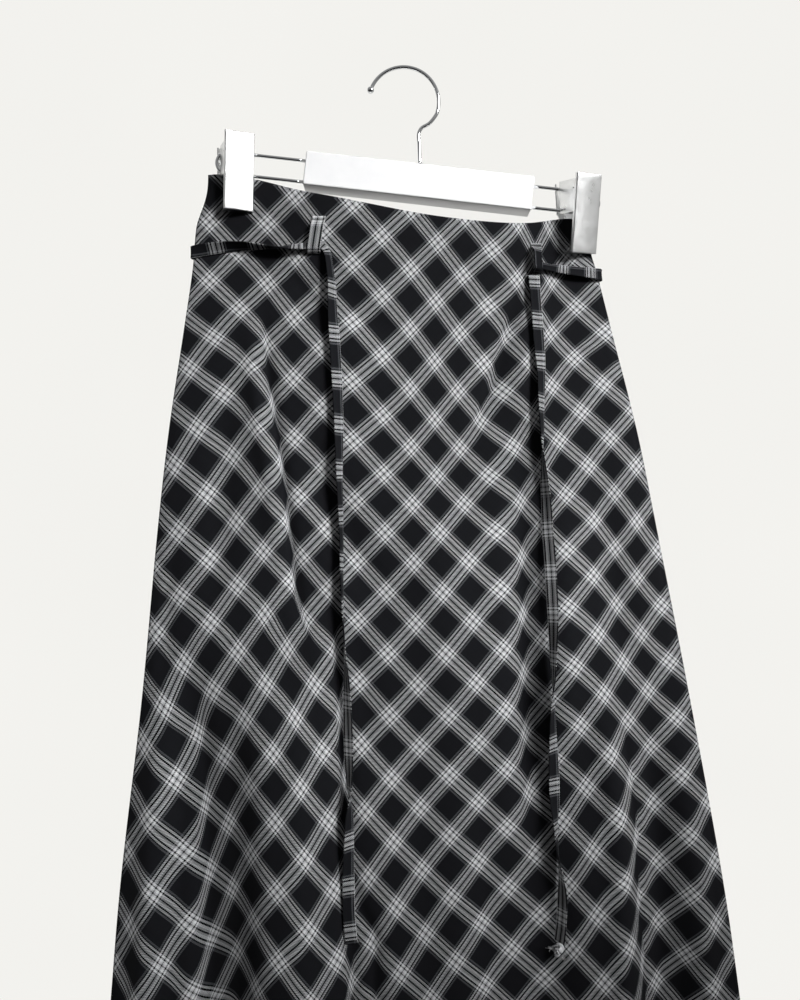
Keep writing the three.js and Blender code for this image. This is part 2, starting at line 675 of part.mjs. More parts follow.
const tie = new THREE.Group();
tie.add(piece("tie_hang_left", strip(TIE_HANG_LEFT), "tie"));
tie.add(piece("tie_wrap_left", strip(TIE_WRAP_LEFT), "tie"));
tie.add(piece("tie_back", strip(TIE_BACK), "tie"));
tie.add(piece("tie_wrap_right", strip(TIE_WRAP_RIGHT), "tie"));
tie.add(piece("tie_hang_right", strip(TIE_HANG_RIGHT), "tie"));
tie.add(piece("tie_knot", knotGeometry(), "tie"));

const tilted = new THREE.Group();
tilted.position.set(BAR_CENTRE.x, 0, BAR_CENTRE.z);
tilted.rotation.y = BAR_TILT;
tilted.add(piece("hanger_bar", barGeometry(), "white"));
tilted.add(piece("rod_left", rodGeometry("left"), "chrome"));
tilted.add(piece("rod_right", rodGeometry("right"), "chrome"));

const hanger = new THREE.Group();
hanger.add(tilted);
hanger.add(piece("hanger_hook", hookGeometry(), "chrome"));
for (const clip of CLIPS) {
  hanger.add(piece(`clip_front_${clip.side}`, jawGeometry(clip, false), "chrome"));
  hanger.add(piece(`clip_back_${clip.side}`, jawGeometry(clip, true), "chrome"));
  hanger.add(piece(`clip_spring_${clip.side}`, springGeometry(clip), "chrome"));
}

const part = new THREE.Group();
part.add(skirt, tie, hanger);

export default part;
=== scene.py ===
# %% [markdown]
# # A checked skirt on a clip hanger
# The skirt is cut on the bias, tied with a narrow belt of its own cloth, and held by the clips of a hanger.
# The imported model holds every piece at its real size. This script dresses it: thin cloth with a woven check
# and soft creases goes over the stiff panels, and finished steel and plastic over the hanger's blocks.

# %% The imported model
import math
import random

import bmesh
import bpy
import numpy as np
from mathutils import Euler, Matrix, Vector


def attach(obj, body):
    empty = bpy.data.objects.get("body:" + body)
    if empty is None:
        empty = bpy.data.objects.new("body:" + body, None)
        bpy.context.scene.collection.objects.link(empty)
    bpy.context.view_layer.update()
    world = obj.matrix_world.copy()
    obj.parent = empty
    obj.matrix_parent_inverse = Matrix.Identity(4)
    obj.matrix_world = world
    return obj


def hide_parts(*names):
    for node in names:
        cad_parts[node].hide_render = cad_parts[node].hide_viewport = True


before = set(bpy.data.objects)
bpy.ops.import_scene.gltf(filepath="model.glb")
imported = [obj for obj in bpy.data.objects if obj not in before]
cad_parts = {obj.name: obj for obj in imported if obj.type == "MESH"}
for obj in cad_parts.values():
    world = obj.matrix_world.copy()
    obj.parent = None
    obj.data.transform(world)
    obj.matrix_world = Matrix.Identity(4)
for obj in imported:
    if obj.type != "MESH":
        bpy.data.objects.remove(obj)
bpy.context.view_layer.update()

MM = 0.001  # sizes below are in millimetres, and the meshes are in metres

# %% [markdown]
# ## The camera
# Somebody stands close in front of the skirt and looks straight at it, a little above its middle, so the
# hook is seen at the top and the hem falls out of view. A camera this near shows the hanger's bar from
# below and the sides of the skirt turning away, which a long lens from far off would flatten.

# %% The camera
eye = bpy.data.cameras.new("camera")
eye.lens = 29.88
camera = bpy.data.objects.new("camera", eye)
camera.location = Vector((-3.05, -724, -375.96)) * MM
camera.rotation_euler = (math.radians(90), 0, 0)
bpy.context.scene.collection.objects.link(camera)
bpy.context.scene.camera = camera
print("camera stands", round(-camera.location.y, 3), "m in front of the hook")

# %% [markdown]
# ## Reading sizes from short tables
# A dressmaker's chart gives a few measures and the eye joins them with a smooth line. The same is done
# here: a table has a row for each place that was measured, and `read` gives the value anywhere between the
# rows. Spline objects would do it too, but a function can be asked for thousands of places at once.

# %% Tables and smooth steps


def table(columns, *rows):
    """Named columns of numbers, a row for each measured place."""
    return {name: np.array([row[k] for row in rows], float) for k, name in enumerate(columns.split())}


def read(rows, key, column, at):
    """The value of one column, on a smooth curve through the rows, where the key column is at."""
    keys, values = rows[key], rows[column]
    if keys[-1] < keys[0]:
        keys, values = keys[::-1], values[::-1]
    count = len(keys)
    at = np.clip(at, keys[0], keys[-1])
    i = np.clip(np.searchsorted(keys, at) - 1, 0, count - 2)
    before = np.maximum(np.arange(count) - 1, 0)
    after = np.minimum(np.arange(count) + 1, count - 1)
    slopes = (values[after] - values[before]) / (keys[after] - keys[before])
    span = keys[i + 1] - keys[i]
    f = (at - keys[i]) / span
    risen = f * f * (3 - 2 * f)
    start = f * (1 - f) ** 2 * span * slopes[i]
    end = f * f * (f - 1) * span * slopes[i + 1]
    return values[i] * (1 - risen) + values[i + 1] * risen + start + end


def smooth(at, low, high):
    f = np.clip((np.asarray(at, float) - low) / (high - low), 0, 1)
    return f * f * (3 - 2 * f)


def mix(a, b, share):
    return a * (1 - share) + b * share


# %% [markdown]
# ## The cut of the skirt
# Front and back are one pattern piece each, narrow at the waist and wide at the hem. These are the same
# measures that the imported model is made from, so the cloth falls where its stiff panels are.

# %% Waist, hem and side seams
WAIST = table(
    "across x z",
    (0, -170.2, -92.8), (0.12, -129.8, -97.8), (0.25, -87, -109.2), (0.42, -30.8, -121),
    (0.58, 21.8, -131), (0.72, 67.8, -136.2), (0.84, 107.3, -136.4), (0.95, 143.5, -132.2),
    (1, 160.5, -136),
)
HEM = table("across z", (0, -868), (0.25, -893), (0.5, -905), (0.75, -909), (1, -902))
SIDES = table(
    "z left right front back",
    (-92, -170, 152, 6, 5), (-136, -180, 160.8, 7, 6), (-174, -183.5, 167.8, 8, 7),
    (-226, -191, 180.5, 10, 8), (-315, -204.2, 203, 13, 9), (-402, -214, 220.6, 16, 10.5),
    (-550, -227.8, 249.5, 21, 13), (-707, -246, 278, 26, 15.5), (-812, -254.8, 293, 29, 17),
    (-909, -262, 304, 31, 18),
)
FOLD = "top x_top x_low wide_top wide_low depth"
FOLDS = {
    "front": table(
        FOLD,
        (-560, -212, -226, 18, 22, -6), (-430, -150, -158, 20, 32, 20), (-430, -84, -92, 22, 30, -8),
        (-600, -40, -30, 14, 20, 7), (-520, 40, 46, 30, 40, -5), (-400, 104, 108, 20, 28, 9),
        (-420, 160, 182, 18, 24, -10), (-480, 208, 236, 16, 24, 15),
    ),
    "back": table(
        FOLD,
        (-420, -165, -185, 20, 30, -5), (-380, -100, -112, 22, 34, 9), (-450, -20, -24, 24, 36, -6),
        (-360, 62, 70, 22, 32, 9), (-430, 132, 152, 20, 30, -6), (-500, 200, 222, 16, 26, 7),
    ),
}
HEM_LEVEL = HEM["z"][2]
CLIP_LEVEL, FREE_LEVEL = -160, -330
PANEL_WALL, SEAM_GAP = 1.4, 0.3
AT_SEAM = (SEAM_GAP + PANEL_WALL) / 2
OUTER_FACE = SEAM_GAP / 2 + PANEL_WALL

# %% [markdown]
# ## Creases
# A skirt on a hanger has two kinds of line in it. The large folds fan out to the hem and are in the packed
# model. The fine ones come from how it is held: pulls fan from each clip and loop, and soft rolls run down
# from where the tie gathers the cloth. Each is a line through a few places, a width and a depth, and its
# depth swells and dies along its length, so no two look alike. Sculpting brushes could draw them by eye.
# Lines in a table can be moved a few millimetres and tried again.

# %% Creases
# A positive depth sinks in and a negative one stands proud. `takes` is how much cloth the crease swallows,
# sideways and downwards. A crease dies at its low end, unless it reaches the hem and runs out over it.
CREASES = {"front": [], "back": []}
CREASE_STEPS = 8  # between two places
GROWN_BY, DIES_FROM = 0.35, 0.6  # shares of a crease's length


def crease(side, places, wide, depth, takes=(0, 0)):
    """Adds a crease to one side of the skirt, on a smooth line through its places."""
    rows = np.array(places, float)
    line = {"at": np.arange(len(rows)), "x": rows[:, 0], "z": rows[:, 1]}
    steps = np.linspace(0, len(rows) - 1, CREASE_STEPS * (len(rows) - 1) + 1)
    x, z = read(line, "at", "x", steps), read(line, "at", "z", steps)
    ends = rows[-1, 1] > HEM_LEVEL
    CREASES[side].append({"x": x, "z": z, "wide": wide, "depth": depth, "takes": takes, "ends": ends})


def from_line(x, z, fold):
    """How far each place lies off a crease, positive on its right as it runs down, and how far along it."""
    best = np.full(np.shape(x), np.inf)
    off, along = np.zeros(np.shape(x)), np.zeros(np.shape(x))
    parts = len(fold["x"]) - 1
    for i in range(parts):
        from_x, from_z = fold["x"][i], fold["z"][i]
        run_x, run_z = fold["x"][i + 1] - from_x, fold["z"][i + 1] - from_z
        length = math.hypot(run_x, run_z)
        share = np.clip(((x - from_x) * run_x + (z - from_z) * run_z) / length**2, 0, 1)
        far = np.hypot(x - from_x - share * run_x, z - from_z - share * run_z)
        side = np.sign((z - from_z) * run_x - (x - from_x) * run_z)
        nearer = far < best
        best = np.where(nearer, far, best)
        off = np.where(nearer, far * side, off)
        along = np.where(nearer, (i + share) / parts, along)
    return off, along


def swell(along, fold):
    """A crease's strength: it grows from its start and dies at its end, or runs on over the hem."""
    grown = smooth(along, 0, GROWN_BY)
    return grown * (1 - smooth(along, DIES_FROM, 1)) if fold["ends"] else grown


# The roll that falls from under the left clip, and what it turns into lower down.
crease("front", [(-126, -196), (-121, -228), (-115.7, -277), (-105.3, -342), (-98.4, -397), (-91.7, -453),
                 (-85, -478), (-69, -512)], 6, 4.4, takes=(14, -4))
crease("front", [(-135, -200), (-131, -240), (-126, -290), (-116, -350), (-110, -400), (-103, -455)], 9, -4)
# Valley and ridge beside the left tie, down to the hem.
crease("front", [(-62, -430), (-58, -500), (-54, -560), (-50, -640), (-47, -740), (-45, -905)], 9, 5,
       takes=(14, 6))
crease("front", [(-92, -520), (-90, -600), (-87, -700), (-84, -905)], 15, -6)
# The deep valley at the left: its bottom, and the long slope that rises from it to the ridge.
crease("front", [(-184, -470), (-189, -560), (-193, -640), (-196, -720), (-200, -800), (-205, -905)], 13, 9)
crease("front", [(-174, -480), (-174, -600), (-173, -700), (-174, -905)], 14, 9, takes=(6.5, 7))
crease("front", [(-122, -500), (-118, -600), (-114, -700), (-112, -905)], 20, -9)
crease("front", [(-212, -520), (-220, -620), (-226, -720), (-232, -905)], 12, -4)
# The small dark fold low down by the left tie.
crease("front", [(-48, -668), (-36, -720), (-25, -745), (-24, -800), (-26, -905)], 6, 3.6)
# The ridge on the right with a dark line beside it.
crease("front", [(176, -520), (190, -590), (198, -650), (199, -700), (203, -760), (206, -800), (208, -905)],
       6, 5, takes=(10, 8))
crease("front", [(160, -500), (174, -600), (182, -660), (184, -720), (188, -905)], 10, -5.5)
crease("front", [(204, -540), (214, -640), (218, -740), (222, -905)], 14, 6)
crease("front", [(240, -540), (254, -660), (262, -780), (270, -905)], 15, -6)
# Diagonals that fall from the loops and meet low in the middle.
crease("front", [(-76, -168), (-52, -196), (-22, -226), (4, -246)], 12, 2.6)
crease("front", [(-96, -300), (-72, -350), (-48, -410), (-26, -456), (-8, -500)], 15, 4.4)
crease("front", [(-50, -440), (-40, -500), (-34, -560), (-30, -620)], 15, 4)
crease("front", [(110, -180), (94, -212), (85, -238), (77, -268), (66, -298), (48, -330)], 9, 4.6,
       takes=(8, 0))
crease("front", [(124, -190), (112, -225), (106, -250), (96, -290), (84, -322)], 10, -3)
crease("front", [(98, -300), (101, -380), (102, -460), (102, -540), (104, -620), (106, -700)], 13, 7,
       takes=(10, 4))
crease("front", [(136, -360), (137, -440), (138, -540), (140, -660)], 15, -6)
crease("front", [(28, -360), (34, -440), (38, -520), (42, -600)], 26, -5)
# Short pulls between the right loop and the right clip.
crease("front", [(126, -136), (127, -156), (130, -180)], 4, 2.2)
crease("front", [(136, -138), (138, -158), (142, -180)], 4, 2)
crease("front", [(131, -136), (132, -156), (136, -180)], 3.4, -1.4)
# Pulls under the left clip and under the left loop.
crease("front", [(-136, -130), (-124, -150), (-104, -172)], 8, 2.4)
crease("front", [(-152, -132), (-160, -152), (-170, -176)], 8, 1.8)
crease("front", [(-104, -176), (-88, -190), (-70, -214), (-58, -246)], 11, 3)
# Soft lines in the middle and the lower half.
crease("front", [(8, -540), (14, -640), (20, -740), (24, -905)], 24, 3.5)
crease("front", [(72, -560), (70, -660), (72, -760), (72, -905)], 16, 4)
crease("front", [(146, -620), (148, -720), (150, -905)], 14, -3)
crease("front", [(-206, -380), (-208, -470), (-211, -560)], 10, 3)
crease("front", [(166, -300), (174, -400), (184, -480), (196, -540)], 15, 4)
crease("front", [(-150, -260), (-154, -340), (-158, -420), (-162, -480)], 14, 4)
# The back, which hangs the same way.
crease("back", [(-126, -170), (-116, -240), (-104, -330), (-96, -430)], 6, 2.4)
crease("back", [(-110, -190), (-100, -280), (-90, -380), (-84, -460)], 9, -2)
crease("back", [(140, -180), (122, -260), (110, -340), (104, -430), (98, -520)], 7, 2.4)
crease("back", [(0, -192), (24, -230), (42, -280), (50, -340)], 12, 1.8)
crease("back", [(-6, -192), (-30, -236), (-46, -300), (-52, -380)], 13, 1.7)
crease("back", [(-150, -500), (-156, -620), (-160, -760), (-166, -905)], 9, 2.8)
crease("back", [(-60, -520), (-58, -640), (-56, -905)], 12, -2)
crease("back", [(20, -540), (24, -660), (26, -905)], 10, 2.6)
crease("back", [(150, -460), (164, -600), (178, -905)], 9, 2.8)
crease("back", [(206, -420), (218, -560), (236, -905)], 8, 2.2)
crease("back", [(-140, -128), (-128, -150), (-112, -176)], 7, 1.1)
crease("back", [(152, -170), (160, -196), (172, -226)], 6, 1.1)
print({side: len(lines) for side, lines in CREASES.items()}, "creases")

# %% [markdown]
# ## The form of a panel
# Between the clips the cloth bows a little, lower down it opens to a flat bell, and at the side seams front
# and back meet. The height of the cloth over the plane of the seams is one function of place, so that the
# panels, the tie and the stitches all lie on the same surface.

# %% How far a panel stands out
BOW_RISES, BOW_FALLS = (0.14, 0.38), (0.66, 0.92)  # the bow between the clips, by shares of the width
NEAR_SEAM = 0.06  # share of the width over which a side seam holds the cloth down
LOWEST, LOWEST_OVER = -5, (620, 760)  # low down the cloth may fall in past the plane of the seams


def large_folds(side, x, z):
    total = np.zeros(np.shape(x))
    for top, x_top, x_low, wide_top, wide_low, depth in zip(*FOLDS[side].values()):
        down = np.maximum((top - z) / (top - HEM_LEVEL), 0)
        off = (x - mix(x_top, x_low, down)) / mix(wide_top, wide_low, down)
        total += depth * smooth(down, 0, 1) * np.exp(-off * off)
    return total


def fine_creases(side, x, z):
    total = np.zeros(np.shape(x))
    for fold in CREASES[side]:
        off, along = from_line(x, z, fold)
        total += fold["depth"] * swell(along, fold) * np.exp(-((off / fold["wide"]) ** 2))
    return total


def stands_out(side, x, z):
    left, right = read(SIDES, "z", "left", z), read(SIDES, "z", "right", z)
    across = np.clip((x - left) / (right - left), 0, 1)
    between_clips = smooth(across, *BOW_RISES) * (1 - smooth(across, *BOW_FALLS))
    free = 1 - np.abs(2 * across - 1) ** 3
    bow = mix(between_clips, free, 1 - smooth(z, FREE_LEVEL, CLIP_LEVEL))
    edge = smooth(across, 0, NEAR_SEAM) * (1 - smooth(across, 1 - NEAR_SEAM, 1))
    form = np.maximum(read(SIDES, "z", side, z) * bow - edge * large_folds(side, x, z), 0)
    creases = fine_creases(side, x, z) * edge * smooth(form, 0.1, 4)
    return np.maximum(form - creases, LOWEST * smooth(-z, *LOWEST_OVER) * edge)


def outer_face(side, x, z):
    """How far the cloth's outer face lies from the plane of the seams."""
    fall_x = (stands_out(side, x + 1, z) - stands_out(side, x - 1, z)) / 2
    fall_z = (stands_out(side, x, z + 1) - stands_out(side, x, z - 1)) / 2
    return AT_SEAM + stands_out(side, x, z) + PANEL_WALL / 2 * np.sqrt(1 + fall_x**2 + fall_z**2)


# %% [markdown]
# ## Meshes from grids
# Cloth, wire and strip are all sheets that are bent or rolled up. Each starts as a flat grid from bmesh,
# whose corners are then moved to the places a function gives. Rolled grids have their long edges merged and
# their ends closed, which gives a tube with an even mesh and a UV map that follows it.

# %% Grids, tubes and objects


def laid_grid(places, weave=None, rolled=False):
    """A bmesh grid through places[row, column], in millimetres. weave holds its UV map, by corner."""
    rows, columns = places.shape[:2]
    mesh = bmesh.new()
    bmesh.ops.create_grid(mesh, x_segments=columns - 1, y_segments=rows - 1, size=1)
    mesh.verts.ensure_lookup_table()
    flat = places.reshape(-1, 3) * MM
    for corner, place in zip(mesh.verts, flat):
        corner.co = place
    if weave is not None:
        layer = mesh.loops.layers.uv.new("weave")
        counts = weave.reshape(-1, 2)
        for face in mesh.faces:
            for loop in face.loops:
                loop[layer].uv = counts[loop.vert.index]
    if rolled:
        bmesh.ops.remove_doubles(mesh, verts=mesh.verts, dist=1e-6)
        bmesh.ops.holes_fill(mesh, edges=[e for e in mesh.edges if e.is_boundary], sides=0)
        bmesh.ops.recalc_face_normals(mesh, faces=mesh.faces)
    return mesh


def facing(mesh, way):
    """Turns a sheet's faces over if they look away from the given way."""
    if sum((face.normal * face.calc_area() for face in mesh.faces), Vector()).dot(Vector(way)) < 0:
        bmesh.ops.reverse_faces(mesh, faces=mesh.faces)


def make(name, mesh, material):
    """Turns a bmesh into an object of the scene."""
    mesh.normal_update()
    data = bpy.data.meshes.new(name)
    mesh.to_mesh(data)
    mesh.free()
    data.materials.append(material)
    data.polygons.foreach_set("use_smooth", [True] * len(data.polygons))
    piece = bpy.data.objects.new(name, data)
    bpy.context.scene.collection.objects.link(piece)
    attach(piece, "root")
    print(name, len(data.polygons), "faces")
    return piece


def joined(meshes):
    """One bmesh that holds several."""
    whole = bmesh.new()
    for part in meshes:
        data = bpy.data.meshes.new("part")
        part.to_mesh(data)
        part.free()
        whole.from_mesh(data)
        bpy.data.meshes.remove(data)
    return whole


def curve_through(points, steps):
    """A smooth curve through points, with some steps between each two."""
    points = np.array(points, float)
    ends = [2 * points[0] - points[1], *points, 2 * points[-1] - points[-2]]
    found = []
    f = np.linspace(0, 1, steps, endpoint=False)[:, None]
    for a, b, c, d in zip(ends, ends[1:], ends[2:], ends[3:]):
        ab, bc, cd = (math.sqrt(np.linalg.norm(q - p)) for p, q in ((a, b), (b, c), (c, d)))
        start = ((b - a) / ab - (c - a) / (ab + bc) + (c - b) / bc) * bc
        end = ((c - b) / bc - (d - b) / (bc + cd) + (d - c) / cd) * bc
        risen = f * f * (3 - 2 * f)
        found.append(b * (1 - risen) + c * risen + start * f * (1 - f) ** 2 + end * f * f * (f - 1))
    return np.vstack([*found, points[-1:]])


def unit(arrows):
    return arrows / np.linalg.norm(arrows, axis=-1, keepdims=True)


def walked(line):
    """How far along a line each of its points lies."""
    return np.concatenate([[0], np.cumsum(np.linalg.norm(np.diff(line, axis=0), axis=1))])


def pull_out(mesh, edges, by):
    """Draws edges of a sheet out to new faces."""
    drawn_out = bmesh.ops.extrude_edge_only(mesh, edges=edges)["geom"]
    corners = [g for g in drawn_out if isinstance(g, bmesh.types.BMVert)]
    bmesh.ops.translate(mesh, vec=by, verts=corners)


def wire(line, radius, sides=16):
    """A round wire along a line."""
    along = unit(np.gradient(line, axis=0))
    beside = np.zeros_like(line)
    start = np.cross(along[0], (0.3, 1, 0.1))  # a way that none of the wires starts in
    for i, ahead in enumerate(along):
        start = unit(start - np.dot(start, ahead) * ahead)
        beside[i] = start
    above = np.cross(along, beside)
    turn = np.linspace(0, 2 * math.pi, sides + 1)[None, :, None]
    radius = np.broadcast_to(radius, len(line))[:, None, None]
    places = line[:, None] + radius * (np.cos(turn) * beside[:, None] + np.sin(turn) * above[:, None])
    return laid_grid(places, rolled=True)


# %% [markdown]
# ## The woven check
# Where two light bands cross, the cloth is palest, where two dark ones cross it is nearly black, and
# where they meet the twill shows both. So the pattern isn't painted. A ramp holds the order of yarns over
# half a repeat, mirrored, and a twill decides for each crossing whether the warp or the weft lies on top.
# An image would be quicker, but it would blur close up and could not follow the count of yarns.

# %% The order of yarns
REPEAT = 36.3
BIAS_REPEAT = REPEAT * math.sqrt(2)  # from one crossing to the next, level or straight down
YARNS = 96  # in a repeat

BLACK, LIGHT, PALE = (0.002, 0.0022, 0.003), (0.31, 0.314, 0.32), (0.43, 0.434, 0.44)
BRIGHT, DIM, CHARCOAL = (0.38, 0.384, 0.39), (0.1, 0.103, 0.11), (0.009, 0.0095, 0.0115)
# Half a repeat, outwards from the middle of a light band.
SETT = [
    (0, BLACK), (0.013, LIGHT), (0.05, PALE), (0.1, BLACK),
    (0.134, BRIGHT), (0.177, BLACK), (0.207, DIM), (0.245, CHARCOAL),
]


def add(tree, kind, inputs=(), **settings):
    """A node with its settings, and its inputs linked or set in order. None leaves an input alone."""
    node = tree.nodes.new(kind)
    for name, value in settings.items():
        setattr(node, name, value)
    for socket, value in zip(node.inputs, inputs):
        if is_output(value):
            tree.links.new(value, socket)
        elif value is not None:
            socket.default_value = value
    return node


def sums(tree, operation, *values):
    return add(tree, "ShaderNodeMath", values, operation=operation).outputs[0]


def vectors(tree, operation, *values):
    return add(tree, "ShaderNodeVectorMath", values, operation=operation).outputs[0]


def ramp(tree, factor, stops, interpolation="LINEAR"):
    node = add(tree, "ShaderNodeValToRGB", (factor,))
    node.color_ramp.interpolation = interpolation
    while len(node.color_ramp.elements) < len(stops):
        node.color_ramp.elements.new(1)
    for element, (place, _) in zip(node.color_ramp.elements, stops):
        element.position = place
    for element, (_, colour) in zip(node.color_ramp.elements, stops):
        element.color = (*colour, 1)
    return node.outputs[0]


def is_output(value):
    return isinstance(value, bpy.types.NodeSocket)


def blend(tree, share, low, high):
    """Two colours mixed by a share. Each is three numbers or another node's output."""
    node = add(tree, "ShaderNodeMix", data_type="RGBA")
    for name, value in (("Factor", share), ("A", low), ("B", high)):
        if is_output(value):
            tree.links.new(value, node.inputs[name])
        else:
            node.inputs[name].default_value = (*value, 1)
    return node.outputs["Result"]


def noise(tree, place, scale, detail, roughness):
    return add(tree, "ShaderNodeTexNoise", (place, None, scale, detail, roughness)).outputs[0]


def bumped(tree, shader, height, strength, distance):
    bump = add(tree, "ShaderNodeBump", (strength, distance))
    tree.links.new(height, bump.inputs["Height"])
    tree.links.new(bump.outputs[0], shader.inputs["Normal"])


def new_material(name, roughness, metallic=0.0, specular=0.5):
    material = bpy.data.materials.new(name)
    material.use_nodes = True
    tree = material.node_tree
    shader = tree.nodes["Principled BSDF"]
    shader.inputs["Roughness"].default_value = roughness
    shader.inputs["Metallic"].default_value = metallic
    shader.inputs["Specular IOR Level"].default_value = specular
    return material, tree, shader


# %% Cloth woven from two sets of yarns
SHOWS_BETWEEN = 0.22  # how much of the lower yarn shows between those on top
ALONE, TOGETHER = 0.62, 1.6  # pale yarns light each other up where they cross
# How far the shades of yarns and of worn cloth spread, and the darkest.
YARN_SHADES, WORN_SHADES = (0.16, 0.92), (0.22, 0.89)
TWILL = 4  # yarns in a repeat of the twill, which goes over two and under two


def woven(name, sheen):
    material, tree, shader = new_material(name, roughness=0.9, specular=0.08)
    shader.inputs["Sheen Weight"].default_value = sheen
    shader.inputs["Sheen Roughness"].default_value = 0.45
    uv = add(tree, "ShaderNodeUVMap", uv_map="weave")
    count = add(tree, "ShaderNodeSeparateXYZ", (uv.outputs[0],)).outputs
    colours, indices, ribs = [], [], []
    for axis in (0, 1):
        from_middle = sums(tree, "PINGPONG", count[axis], 0.5)
        colour = ramp(tree, from_middle, SETT, "CONSTANT")
        yarns = sums(tree, "MULTIPLY", count[axis], YARNS)
        index = sums(tree, "FLOOR", yarns)
        uneven = add(tree, "ShaderNodeTexWhiteNoise", (None, index), noise_dimensions="1D").outputs[0]
        shade = sums(tree, "MULTIPLY_ADD", uneven, *YARN_SHADES)
        colours.append(vectors(tree, "SCALE", colour, None, None, shade))
        indices.append(index)
        ribs.append(sums(tree, "PINGPONG", sums(tree, "FRACT", yarns), 0.5))
    step = sums(tree, "FLOORED_MODULO", sums(tree, "ADD", *indices), TWILL)
    warp_on_top = sums(tree, "LESS_THAN", step, TWILL / 2 - 0.5)
    blended = sums(tree, "MULTIPLY_ADD", warp_on_top, 1 - 2 * SHOWS_BETWEEN, SHOWS_BETWEEN)
    plain = blend(tree, blended, colours[1], colours[0])
    place = add(tree, "ShaderNodeTexCoord").outputs["Object"]
    worn = sums(tree, "MULTIPLY_ADD", noise(tree, place, 34, 4, 0.6), *WORN_SHADES)
    lit_up = vectors(tree, "MULTIPLY_ADD", plain, (TOGETHER,) * 3, (ALONE,) * 3)
    crossed = vectors(tree, "MULTIPLY", plain, lit_up)
    tree.links.new(vectors(tree, "SCALE", crossed, None, None, worn), shader.inputs["Base Color"])
    rib = add(tree, "ShaderNodeMix", (warp_on_top, None, ribs[1], ribs[0])).outputs[0]
    fuzz = noise(tree, place, 2600, 2, 0.5)
    bumped(tree, shader, sums(tree, "MULTIPLY_ADD", fuzz, 0.5, rib), 0.35, 0.0001)
    return material


CHECK_CLOTH = woven("check_cloth_woven", sheen=0.01)
TIE_CLOTH = woven("tie_cloth_woven", sheen=0.01)

# %% [markdown]
# ## How the cloth has stretched
# Cloth cut on the bias gives. It lengthens where it hangs and swings aside where it is held, so its lines
# don't stay straight. The UV map counts repeats from the length of the cloth over the form, and small
# tables add how far it has been drawn sideways and down at a few places. Where a crease swallows cloth, the
# count jumps.

# %% Sideways and downward stretch
DRAWN_AT = (-210, -175, -140, -105, -70, 0, 65, 100, 134, 168, 220)
DRAWN = "z a b c d e f g h i j k"
DRAWN_SIDEWAYS = table(
    DRAWN,
    (-152, 14, 15, 16, 16, 18, 19, 25, 29, 57, 60, 60),
    (-290, 15, 15, 13, 17, 18, 19, 34, 34, 42, 46, 48),
    (-427, 6, 4, 5, 9, 13, 16, 22, 21, 31, 31, 47),
    (-562, -1, -1, -4, -1, 9, 12, 14, 16, 16, 18, 28),
    (-695, -1, -8, -5, -5, -2, 8, 13, 14, 13, 18, 10),
    (-790, -4, -4, -9, -5, -5, 1, 7, 8, 6, 8, 9),
    (-905, -6, -2, -12, -6, -8, -5, 2, 2, 0, 0, 8),
)
DRAWN_DOWN = table(
    DRAWN,
    (-152, 20, 20, 19, 17, 10, 3, -5, -8, -10, -10, -10),
    (-290, 15, 19, 21, 11, 11, 2, -1, 1, 6, 8, 9),
    (-427, -1, 4, 10, 13, 10, 7, 9, 10, 15, 17, 14),
    (-562, -10, -2, 7, 10, 10, 6, 9, 12, 18, 20, 21),
    (-695, -29, -27, -6, -1, -4, 3, 13, 16, 18, 22, 21),
    (-790, -47, -41, -13, -9, -16, -3, 12, 14, 16, 17, 20),
    (-905, -65, -52, -19, -17, -26, -8, 11, 12, 14, 12, 19),
)


def drawn(rows, x, z):
    columns = np.array([read(rows, "z", name, z) for name in DRAWN.split()[1:]])
    at = np.clip(x, DRAWN_AT[0], DRAWN_AT[-1])
    i = np.clip(np.searchsorted(DRAWN_AT, at) - 1, 0, len(DRAWN_AT) - 2)
    pick = lambda k: np.take_along_axis(columns, np.clip(k, 0, len(DRAWN_AT) - 1)[None], 0)[0]
    f = (at - np.take(DRAWN_AT, i)) / (np.take(DRAWN_AT, i + 1) - np.take(DRAWN_AT, i))
    before, start, end, after = pick(i - 1), pick(i), pick(i + 1), pick(i + 2)
    straight = start + f * (end - before) / 2
    bent = f * f * (before - 2.5 * start + 2 * end - after / 2)
    return straight + bent + f**3 * (1.5 * (start - end) + (after - before) / 2)


def weave_count(side, x, y, z):
    """Repeats of the two sets of yarns at each corner of a panel."""
    step = np.hypot(np.diff(x, axis=1), np.diff(y, axis=1))
    length = np.concatenate([np.zeros((len(x), 1)), np.cumsum(step, axis=1)], axis=1)
    middle = np.array([np.interp(0, row_x, row_length) for row_x, row_length in zip(x, length)])
    sideways = length - middle[:, None]
    downwards = -z.copy()
    if side == "front":
        sideways += drawn(DRAWN_SIDEWAYS, x, z)
        downwards += drawn(DRAWN_DOWN, x, z)
    for fold in CREASES[side]:
        if any(fold["takes"]):
            off, along = from_line(x, z, fold)
            swallowed = smooth(off, -fold["wide"] / 2, fold["wide"] / 2)
            if fold["x"].mean() < 0:
                swallowed -= 1
            swallowed = swallowed * smooth(along, 0, 0.5) * (1 - smooth(along, 0.7, 1) * fold["ends"])
            sideways += fold["takes"][0] * swallowed
            downwards += fold["takes"][1] * swallowed
    return np.stack([downwards + sideways, downwards - sideways], axis=-1) / BIAS_REPEAT


# %% [markdown]
# ## The two panels
# A panel is one sheet of suiting, half a millimetre thick. It could be draped by the cloth simulation, but
# then its folds would fall where they like. Here a fine grid is laid over the form instead, and a Solidify
# modifier gives it its thickness inwards. The waist is thicker, because its edge is turned in there and
# pressed, and along the side seams the two sheets are drawn together.

